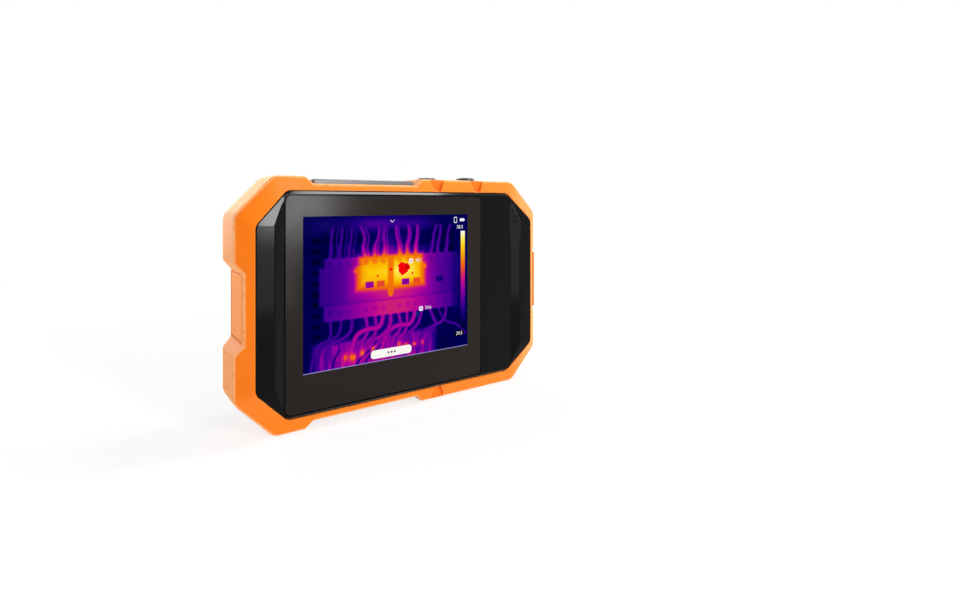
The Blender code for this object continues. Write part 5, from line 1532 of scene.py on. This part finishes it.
# %% Optics cover
COVER_BACK, COVER_FACE = extent("y", "optics_cover")
COVER_R = 6.0
COVER_EDGE = 0.6
COVER_FOOT = 0.3
WINDOW_R = 3.6
cover_at, cover_size = seen_along("y", "optics_cover")
cover_line = [(COVER_FOOT, COVER_BACK), (0.0, COVER_BACK + COVER_FOOT), *quarter(COVER_EDGE, COVER_FACE, 1)]
cover = plate("optics_plate", "y", cover_size, COVER_R, cover_at, cover_line, 12)
HOLES = (("lens", BARREL_R, LENS_AT), ("camera", WINDOW_R, CAMERA_AT), ("torch", WINDOW_R, TORCH_AT))
cover_cuts = []
for name, radius, at in HOLES:
    cover_cuts.append(flared_hole(f"{name}_hole", radius + GAP, at, COVER_BACK - PAST, COVER_FACE))
carve(cover, *cover_cuts)
gloss_plastic = moulded("gloss_black_plastic", (14, 14, 15), (0.1, 0.16), 0.6, 0.0005, gloss=0.45)
dress(cover, gloss_plastic, "optics_plastic", "optics_cover")

# %% [markdown]
# Everything round the lens is turned. The bezel is a plain ring whose edges are broken, with a cone that
# leads the eye inwards. A turned profile may be closed like the bumper's section, so the same rounding
# of corners serves it.

# %% Lens bezel
BEZEL_BACK, BEZEL_FACE = extent("y", "lens_bezel")
BEZEL_R = seen_along("y", "lens_bezel")[1][0] / 2
BEZEL_LIP = 1.2
BEZEL_CONE = 0.7
BEZEL_EDGES = (0.1, 0.15, 0.8, 0.3, 0.15)
LENS_STEPS = 96


def ring_profile(corners, edges, steps=5):
    """A closed profile of (radius, depth) with its corners rounded."""
    points = np.insert(np.asarray(corners, float), 2, 0, axis=1)
    return soft_profile(points[None], edges, steps, closed=True)[0, :, :2]


bezel_corners = [
    (BARREL_R + GAP, BEZEL_BACK), (BEZEL_R, BEZEL_BACK), (BEZEL_R, BEZEL_FACE),
    (BARREL_R + BEZEL_LIP, BEZEL_FACE), (BARREL_R + GAP, BEZEL_FACE - BEZEL_CONE),
]
bezel_line = ring_profile(bezel_corners, BEZEL_EDGES)
bezel = turned("lens_bezel_ring", "y", bezel_line, LENS_AT, LENS_STEPS, "ring")
satin_black = moulded("satin_black", (24, 24, 25), (0.24, 0.32), 0.2, 0.001, gloss=0.4)
dress(bezel, satin_black, "bezel_black", "lens_bezel")

# %% [markdown]
# The barrel is a tube with a flange at its foot and two seats, a wide one for the front lens and a narrow
# one for the rear lens. Fine steps in its mouth keep stray light off the lens. They are points of the
# profile that stand in and out by turns, so the whole barrel is still one turned line.

# %% Lens barrel
BARREL_WALL = 1.4
BARREL_EDGE = 0.25
FLANGE_OUT = 2.5
FLANGE_FOOT = 1.0
LENS_LIP = 0.9
BAFFLES = 9
BAFFLE_DEPTH = 0.12
BAFFLE_START = 0.3
BAFFLE_END = 0.9
BARREL_BACK, BARREL_FACE = extent("y", "lens_barrel")
DOME_BACK, DOME_FACE = extent("y", "front_lens")
front_bore = BARREL_R - BARREL_WALL
rear_bore = seen_along("y", "rear_lens")[1][0] / 2 + GAP
throat = rear_bore - LENS_LIP
front_seat = DOME_BACK - GAP
rear_seat = extent("y", "rear_lens")[0] - GAP
flange_r, flange_y = BARREL_R + FLANGE_OUT, BARREL_BACK + FLANGE_FOOT
baffle_r = front_bore + BAFFLE_DEPTH * (np.arange(BAFFLES) % 2)
baffle_y = np.linspace(BARREL_FACE - BAFFLE_START, DOME_FACE - BAFFLE_END, BAFFLES)
barrel_line = [
    (throat, BARREL_BACK), (flange_r, BARREL_BACK), (flange_r, flange_y), (BARREL_R, flange_y),
    (BARREL_R, BARREL_FACE - BARREL_EDGE), (BARREL_R - BARREL_EDGE, BARREL_FACE),
    (front_bore + BARREL_EDGE, BARREL_FACE), *zip(baffle_r, baffle_y),
    (front_bore, front_seat), (rear_bore, front_seat), (rear_bore, rear_seat), (throat, rear_seat),
]
barrel = turned("lens_barrel_tube", "y", barrel_line, LENS_AT, LENS_STEPS, "ring")
barrel_black = moulded("barrel_black_anodised", (22, 22, 24), (0.3, 0.4), 0.2, 0.001, gloss=0.4)
dress(barrel, barrel_black, "barrel_black", "lens_barrel")

# %% [markdown]
# The front lens is germanium, which lets heat through but is opaque to the eye: it looks like grey metal
# with the purple sheen of its coating. Its outer face is a shallow dome, and a parabola is close enough
# to a sphere at this size.

# %% Front lens
DOME_R = seen_along("y", "front_lens")[1][0] / 2
DOME_EDGE = 1.7
share = np.linspace(1, 0, 17)
dome_rise = DOME_FACE - DOME_BACK - DOME_EDGE
dome_line = [(0.0, DOME_BACK), (DOME_R, DOME_BACK), *zip(DOME_R * share, DOME_FACE - dome_rise * share**2)]
dome = turned("germanium_dome", "y", dome_line, LENS_AT, LENS_STEPS)
germanium = metal("germanium_coated", (96, 84, 110), (0.08, 0.13), 2.0, 0.0)
dress(dome, germanium, "germanium_outer", "front_lens")

# %% [markdown]
# Beside the lens are the small window of the ordinary camera and the torch. Both are turned discs. Their
# patterns are rings about their own axis, so the material measures the distance from that axis on Object
# coordinates: a dark lens in a black print, and a yellow light chip under clear ridges.

# %% Camera window
def ringed(name, at, stops, rough):
    """A finish in rings round the axis through (x, z): the distance from it, read through a colour ramp.

    The stops are pairs of a radius in millimetres and screen levels.
    """
    look, tree, shader = new_look(name, {"Roughness": rough})
    place = add_node(tree, "TexCoord", {}).outputs["Object"]
    x, _, z = metres((at[0], 0.0, at[1]))
    centred = add_node(tree, "Mapping", {"Vector": place, "Location": (-x, 0.0, -z)})
    sideways = {0: centred.outputs["Vector"], 1: (1.0, 0.0, 1.0)}
    flat = add_node(tree, "VectorMath", sideways, operation="MULTIPLY")
    away = add_node(tree, "VectorMath", {0: flat.outputs["Vector"]}, operation="LENGTH")
    reach = add_node(tree, "MapRange", {"Value": away.outputs["Value"], "From Max": WINDOW_R * MM})
    rings = [(radius / WINDOW_R, linear(*levels)) for radius, levels in stops]
    feed(tree, shader, {"Base Color": through_ramp(tree, reach.outputs["Result"], rings)})
    return look


WINDOW_EDGE = 0.25
WINDOW_BACK, WINDOW_FACE = extent("y", "visible_window")
PUPIL_R = 1.7
PUPIL_RIM = ((2.05, 0.0), (1.95, 0.25), (PUPIL_R, 0.3))
PUPIL_RISE = 0.25
EYE_RINGS = (
    (0.0, (30, 24, 62)), (0.9, (14, 10, 30)), (1.6, (26, 20, 52)), (1.75, (44, 44, 48)), (2.1, (8, 8, 9)),
)
pupil_r = np.linspace(PUPIL_R, 0, 9)[1:]
pupil_y = WINDOW_FACE - PUPIL_RIM[-1][1] + PUPIL_RISE * (1 - (pupil_r / PUPIL_R) ** 2)
window_line = [
    (0.0, WINDOW_BACK), (WINDOW_R, WINDOW_BACK), *round_rim(WINDOW_R, WINDOW_EDGE, WINDOW_FACE, 3),
    *[(radius, WINDOW_FACE - sunk) for radius, sunk in PUPIL_RIM], *zip(pupil_r, pupil_y),
]
window_disc = turned("camera_window_disc", "y", window_line, CAMERA_AT)
dress(window_disc, ringed("camera_eye", CAMERA_AT, EYE_RINGS, 0.06), "camera_window", "visible_window")

# %% [markdown]
# The torch lens spreads the light of its chip with ridges, like a small lighthouse lens. The profile is a
# shallow dome whose points stand up and down by turns.

# %% Torch lens
TORCH_BACK, TORCH_FACE = extent("y", "torch_lens")
TORCH_DOME = 0.4
TORCH_WALL = 0.2
RIDGES = 25
RIDGE_INSET = 0.3
RIDGE_DEPTH = 0.08
TORCH_RINGS = (
    (0.0, (246, 226, 120)), (0.9, (240, 214, 96)), (1.15, (214, 214, 208)), (3.2, (226, 228, 230)),
    (3.5, (170, 172, 175)),
)
ridge_r = np.linspace(WINDOW_R - RIDGE_INSET, 0, RIDGES)
ridge_y = TORCH_FACE - TORCH_DOME * (ridge_r / WINDOW_R) ** 2 - RIDGE_DEPTH * (np.arange(RIDGES) % 2)
torch_line = [
    (0.0, TORCH_BACK), (TORCH_R, TORCH_BACK), (TORCH_R, COVER_BACK), (WINDOW_R, COVER_BACK),
    (WINDOW_R, ridge_y[0] - TORCH_WALL), *zip(ridge_r, ridge_y),
]
torch = turned("torch_ridged_lens", "y", torch_line, TORCH_AT, 72)
dress(torch, ringed("torch_clear_lens", TORCH_AT, TORCH_RINGS, 0.12), "torch_clear", "torch_lens")

# %% [markdown]
# Under the body a brass insert takes a tripod screw. A collar under the rubber keeps it from being pulled
# through, and above that it is slimmer. Its thread is a real helix: on the bore's wall the radius goes up
# and down once per pitch, and the wave climbs one pitch with every turn of the angle.

# %% Tripod insert
PITCH = 1.27
BORE_R = 2.6
THREAD_DEPTH = 0.5
BORE_END = 1.5
INSERT_EDGE = 0.3
MOUTH_OUT = 0.7
MOUTH_IN = 0.05
MOUTH_DEPTH = 0.6
THREAD_START = 0.65


def bore_rows(low, high, rows=90, steps=64):
    """Bore radius: BORE_R + THREAD_DEPTH times a triangle wave of height / PITCH - angle / full turn."""
    heights = np.linspace(low, high, rows)
    turn = np.linspace(0, 2 * np.pi, steps, endpoint=False)
    z, a = np.meshgrid(heights, turn, indexing="ij")
    wave = np.abs(((z - low) / PITCH - a / (2 * np.pi)) % 1 * 2 - 1)
    fade = np.clip((z - low) / PITCH, 0, 1) * np.clip((high - z) / PITCH, 0, 1)
    r = BORE_R + THREAD_DEPTH * wave * fade
    return np.stack([insert_at[0] + r * np.cos(a), insert_at[1] + r * np.sin(a), z], -1)


insert_rings = [
    (WAIST_R, INSERT_TOP), (WAIST_R, collar_top), (insert_r, collar_top),
    (insert_r, INSERT_FOOT + INSERT_EDGE), (insert_r - INSERT_EDGE, INSERT_FOOT),
    (BORE_R + MOUTH_OUT, INSERT_FOOT), (BORE_R + MOUTH_IN, INSERT_FOOT + MOUTH_DEPTH),
]
insert_loops = [along("z", circle(radius, insert_at), z) for radius, z in insert_rings]
insert_loops += list(bore_rows(INSERT_FOOT + THREAD_START, INSERT_TOP - BORE_END))
insert = loft("threaded_insert", insert_loops)
brass = metal("turned_brass", (214, 172, 92), (0.2, 0.3))
dress(insert, brass, "insert_brass", "tripod_insert")

# %% [markdown]
# Behind the flap the USB-C socket shows a steel shell with round ends and a black tongue that carries
# two rows of gilt contacts. The shell is a chain of soft boxes, out along the outside and back inside.

# %% USB-C socket
USB_MOUTH, USB_END = extent("x", "usb_c_socket")
USB_WALL = 0.35
USB_OUTER = 0.12
USB_INNER = 0.1
USB_BACK = 1.2
usb_at, usb_size = seen_along("x", "usb_c_socket")
usb_r = usb_size[0] / 2 - 0.05
usb_floor = USB_END - USB_BACK
usb_chain = [
    (0.0, USB_END), (0.0, USB_MOUTH + USB_OUTER), (USB_OUTER, USB_MOUTH), (USB_WALL - USB_INNER, USB_MOUTH),
    (USB_WALL, USB_MOUTH + USB_INNER), (USB_WALL, usb_floor),
]
shell = plate("usb_shell", "x", usb_size, usb_r, usb_at, usb_chain, 10)
usb_steel = metal("usb_drawn_steel", (190, 190, 194), (0.2, 0.3))
dress(shell, usb_steel, "usb_steel", "usb_c_socket")

# %% [markdown]
# On the tongue lie two rows of twelve contacts. One small block is copied to all the places in one step:
# the places as one array, the block's corners as another, and the sum of the two. On the underside the
# block is turned over by the sign of its thickness.

# %% Tongue and contacts of the socket
TONGUE = (0.7, 6.6)
TONGUE_R = 0.3
TONGUE_EDGE = 0.2
TONGUE_IN = 0.6
TONGUE_ROOT = 0.3
CONTACTS = 12
CONTACT_PITCH = 0.5
CONTACT_BLOCK = ((0.3, 3.2), (-0.02, 0.05), (-0.14, 0.14))
tongue_tip = USB_MOUTH + TONGUE_IN
tongue_line = [(0.0, usb_floor + TONGUE_ROOT), *quarter(TONGUE_EDGE, tongue_tip, -1, 3)]
tongue = plate("usb_tongue", "x", TONGUE, TONGUE_R, usb_at, tongue_line, 4)
dress(tongue, satin_black, "usb_steel", "usb_c_socket")
side = np.repeat((-1.0, 1.0), CONTACTS)
row = np.tile((np.arange(CONTACTS) - (CONTACTS - 1) / 2) * CONTACT_PITCH, 2)
places = np.stack([np.full(len(side), tongue_tip), usb_at[0] + side * TONGUE[0] / 2, row], -1)
turns = np.stack([np.ones(len(side)), side, np.ones(len(side))], -1)
block = np.stack(np.meshgrid(*CONTACT_BLOCK, indexing="ij"), -1).reshape(-1, 3)
block_faces = np.array([(0, 1, 3, 2), (4, 6, 7, 5), (0, 4, 5, 1), (2, 3, 7, 6), (0, 2, 6, 4), (1, 5, 7, 3)])
points = places[:, None] + block * turns[:, None]
faces = block_faces + len(block) * np.arange(len(places))[:, None, None]
contacts = new_piece("usb_contacts", points.reshape(-1, 3), faces.reshape(-1, 4), 0.0)
dress(contacts, metal("gilt_contacts", (222, 180, 96), (0.2, 0.3)), "usb_steel", "usb_c_socket")

# %% [markdown]
# What is shut inside keeps its CAD mesh. Each piece still gets a true finish, because a flap can be
# opened, a lens looked into, or the housing taken off by someone who uses the part later.

# %% Finishes of the inner pieces
INNER_FINISHES = {
    "lcd_module": moulded("display_module", (52, 56, 64), (0.14, 0.22), 1.0, 0.0),
    "lcd_ribbon": moulded("ribbon_amber", (186, 120, 34), (0.3, 0.4), 0.5, 0.002),
    "mid_chassis": metal("chassis_sheet", (176, 178, 182), (0.3, 0.42)),
    "main_board": moulded("board_green", (18, 92, 58), (0.3, 0.42), 0.8, 0.004),
    "processor_shield": metal("shield_plate", (200, 200, 202), (0.24, 0.36)),
    "wireless_module": metal("radio_can", (192, 192, 196), (0.24, 0.36)),
    "battery_pack": moulded("battery_sleeve", (66, 96, 150), (0.28, 0.4), 1.2, 0.004),
    "speaker": moulded("speaker_cone", (40, 40, 42), (0.5, 0.6), 0.5, 0.01),
    "housing_seal": moulded("seal_silicone", (42, 42, 44), (0.6, 0.7), 0.3, 0.003),
    "key_board": moulded("key_board_mask", (20, 84, 50), (0.32, 0.42), 0.8, 0.003),
    "core_base": metal("core_casting", (148, 150, 156), (0.36, 0.5)),
    "detector_package": moulded("detector_case", (142, 136, 128), (0.4, 0.5), 0.4, 0.002),
    "shutter_pin": metal("pin_ground", (214, 214, 218), (0.15, 0.25)),
    "shutter_blade": moulded("blade_blackened", (32, 32, 33), (0.5, 0.6), 0.3, 0.002),
    "shutter_actuator": metal("actuator_can", (178, 160, 128), (0.3, 0.42)),
    "rear_lens": metal("germanium_plain", (112, 112, 118), (0.1, 0.16), 2.0, 0.0),
    "visible_camera": moulded("camera_block", (44, 44, 46), (0.4, 0.5), 0.4, 0.003),
    "torch_led": moulded("torch_carrier", (226, 226, 220), (0.36, 0.46), 0.5, 0.003),
    "power_plunger": moulded("plunger_natural", (222, 218, 208), (0.36, 0.46), 0.4, 0.003),
    "power_switch": moulded("switch_case", (56, 56, 58), (0.36, 0.46), 0.4, 0.003),
    "board_screw_1": metal("board_screw_bright", (198, 198, 202), (0.2, 0.3)),
}
SAME_FINISH = {
    "capture_plunger": "power_plunger", "capture_switch": "power_switch",
    **{f"board_screw_{k}": "board_screw_1" for k in (2, 3, 4)},
}
for node, source in {**{name: name for name in INNER_FINISHES}, **SAME_FINISH}.items():
    inner_mesh = frame["nodes"][node].data
    inner_mesh.materials.clear()
    inner_mesh.materials.append(INNER_FINISHES[source])
print("inner pieces finished:", len(INNER_FINISHES) + len(SAME_FINISH))

# %% [markdown]
# A studio sweep: a pale floor, a white world, and a few large soft lamps. The camera, and what mirrors
# or refracts, sees the world at full white. For plain lighting the same world is dimmer, so that a
# colour comes out about as it is written. The floor keeps the object's soft shadow.

# %% Floor and world
FLOOR_SIZE = 6.0
FLOOR_FADE = (0.12, 0.45)
FLOOR_GLOW = 0.78
FLOOR_WHITE = (0.9, 0.9, 0.9, 1.0)
WHITE = (1.0, 1.0, 1.0, 1.0)
ROOM_LIGHT = 0.14


def seen_directly(tree):
    """1 for camera, glossy and transmitted rays, 0 for the rays that light surfaces."""
    path = add_node(tree, "LightPath", {}).outputs
    total = path["Is Camera Ray"]
    for name in ("Is Glossy Ray", "Is Transmission Ray"):
        total = add_node(tree, "Math", {0: total, 1: path[name]}, operation="MAXIMUM").outputs[0]
    return total


def mixed(tree, share, first, second):
    """A Mix Shader node that goes from the first shader to the second by `share`."""
    return add_node(tree, "MixShader", {0: share, 1: first.outputs[0], 2: second.outputs[0]})


def white_world():
    """White to look at, ROOM_LIGHT as a light."""
    world = bpy.data.worlds.new("white_room")
    world.use_nodes = True
    tree = world.node_tree
    plain = tree.nodes["Background"]
    feed(tree, plain, {"Color": WHITE, "Strength": ROOM_LIGHT})
    seen = add_node(tree, "Background", {"Color": WHITE})
    both = mixed(tree, seen_directly(tree), plain, seen)
    feed(tree, tree.nodes["World Output"], {"Surface": both.outputs[0]})
    bpy.context.scene.world = world


def floor_look():
    """Matt white that glows towards the camera, wholly so away from the object, to meet the white room."""
    look = bpy.data.materials.new("pale_floor")
    look.use_nodes = True
    tree = look.node_tree
    tree.nodes.remove(tree.nodes["Principled BSDF"])
    matt = add_node(tree, "BsdfDiffuse", {"Color": FLOOR_WHITE})
    place = add_node(tree, "TexCoord", {}).outputs["Object"]
    away = add_node(tree, "VectorMath", {0: place}, operation="LENGTH").outputs["Value"]
    limits = dict(zip(("From Min", "From Max", "To Min", "To Max"), (*FLOOR_FADE, FLOOR_GLOW, 1.0)))
    fade = add_node(tree, "MapRange", {"Value": away, **limits}, interpolation_type="SMOOTHSTEP")
    glowing = mixed(tree, fade.outputs["Result"], matt, add_node(tree, "Emission", {}))
    seen = mixed(tree, seen_directly(tree), matt, glowing)
    feed(tree, tree.nodes["Material Output"], {"Surface": seen.outputs[0]})
    return look


white_world()
corners = np.array([(-1, -1), (1, -1), (1, 1), (-1, 1)]) * FLOOR_SIZE / 2 / MM
floor = new_piece("floor", along("z", corners, -BODY_ORIGIN[2] / MM), [(0, 1, 2, 3)])
floor.data.materials.append(floor_look())
print(f"floor {FLOOR_SIZE:.0f} m wide, world light {ROOM_LIGHT}")

# %% [markdown]
# The lamps are softboxes: area lights that face the body. Black plastic shows hardly any colour of its own,
# only what it mirrors, so the narrow lamps stand where a facet, a shoulder or a bevel of the housing mirrors
# them towards the camera. The wide weak ones light the rest, and three behind serve the views of the back.

# %% Lamps
# Azimuth to the right of the front, elevation, distance, width and height in metres, power in watts.
LAMPS = {
    "front_box": (18, 4, 1.0, 0.18, 0.24, 1.8),
    "key_box": (17, 22.5, 1.0, 0.12, 0.37, 6.7),
    "left_box": (-1, -2, 0.2, 0.06, 0.08, 0.03),
    "top_box": (10, 75, 0.9, 0.8, 0.6, 1.2),
    "top_right_box": (80, 63, 0.9, 0.12, 0.3, 3.2),
    "right_box": (75, 21, 0.9, 0.4, 0.4, 2.8),
    "rim_left_box": (-118, 12, 0.9, 0.6, 0.6, 4.2),
    "rear_left_box": (-164, 12, 0.9, 0.5, 0.5, 2.5),
    "rear_right_box": (165, 30, 0.9, 0.6, 0.6, 1.8),
}


def softbox(name, azimuth, elevation, distance, wide, high, power):
    """An area light on a sphere round the body, at an azimuth and an elevation in degrees."""
    a, e = math.radians(azimuth), math.radians(elevation)
    way = Vector((math.sin(a) * math.cos(e), -math.cos(a) * math.cos(e), math.sin(e)))
    light = bpy.data.lights.new(name, "AREA")
    light.shape = "RECTANGLE"
    light.size = wide
    light.size_y = high
    light.energy = power
    lamp = bpy.data.objects.new(name, light)
    lamp.location = Vector(BODY_ORIGIN) + way * distance
    lamp.rotation_euler = way.to_track_quat("Z", "Y").to_euler()
    lamp.visible_camera = False
    bpy.context.scene.collection.objects.link(lamp)


for name, values in LAMPS.items():
    softbox(name, *values)
print("lamps set:", len(LAMPS))
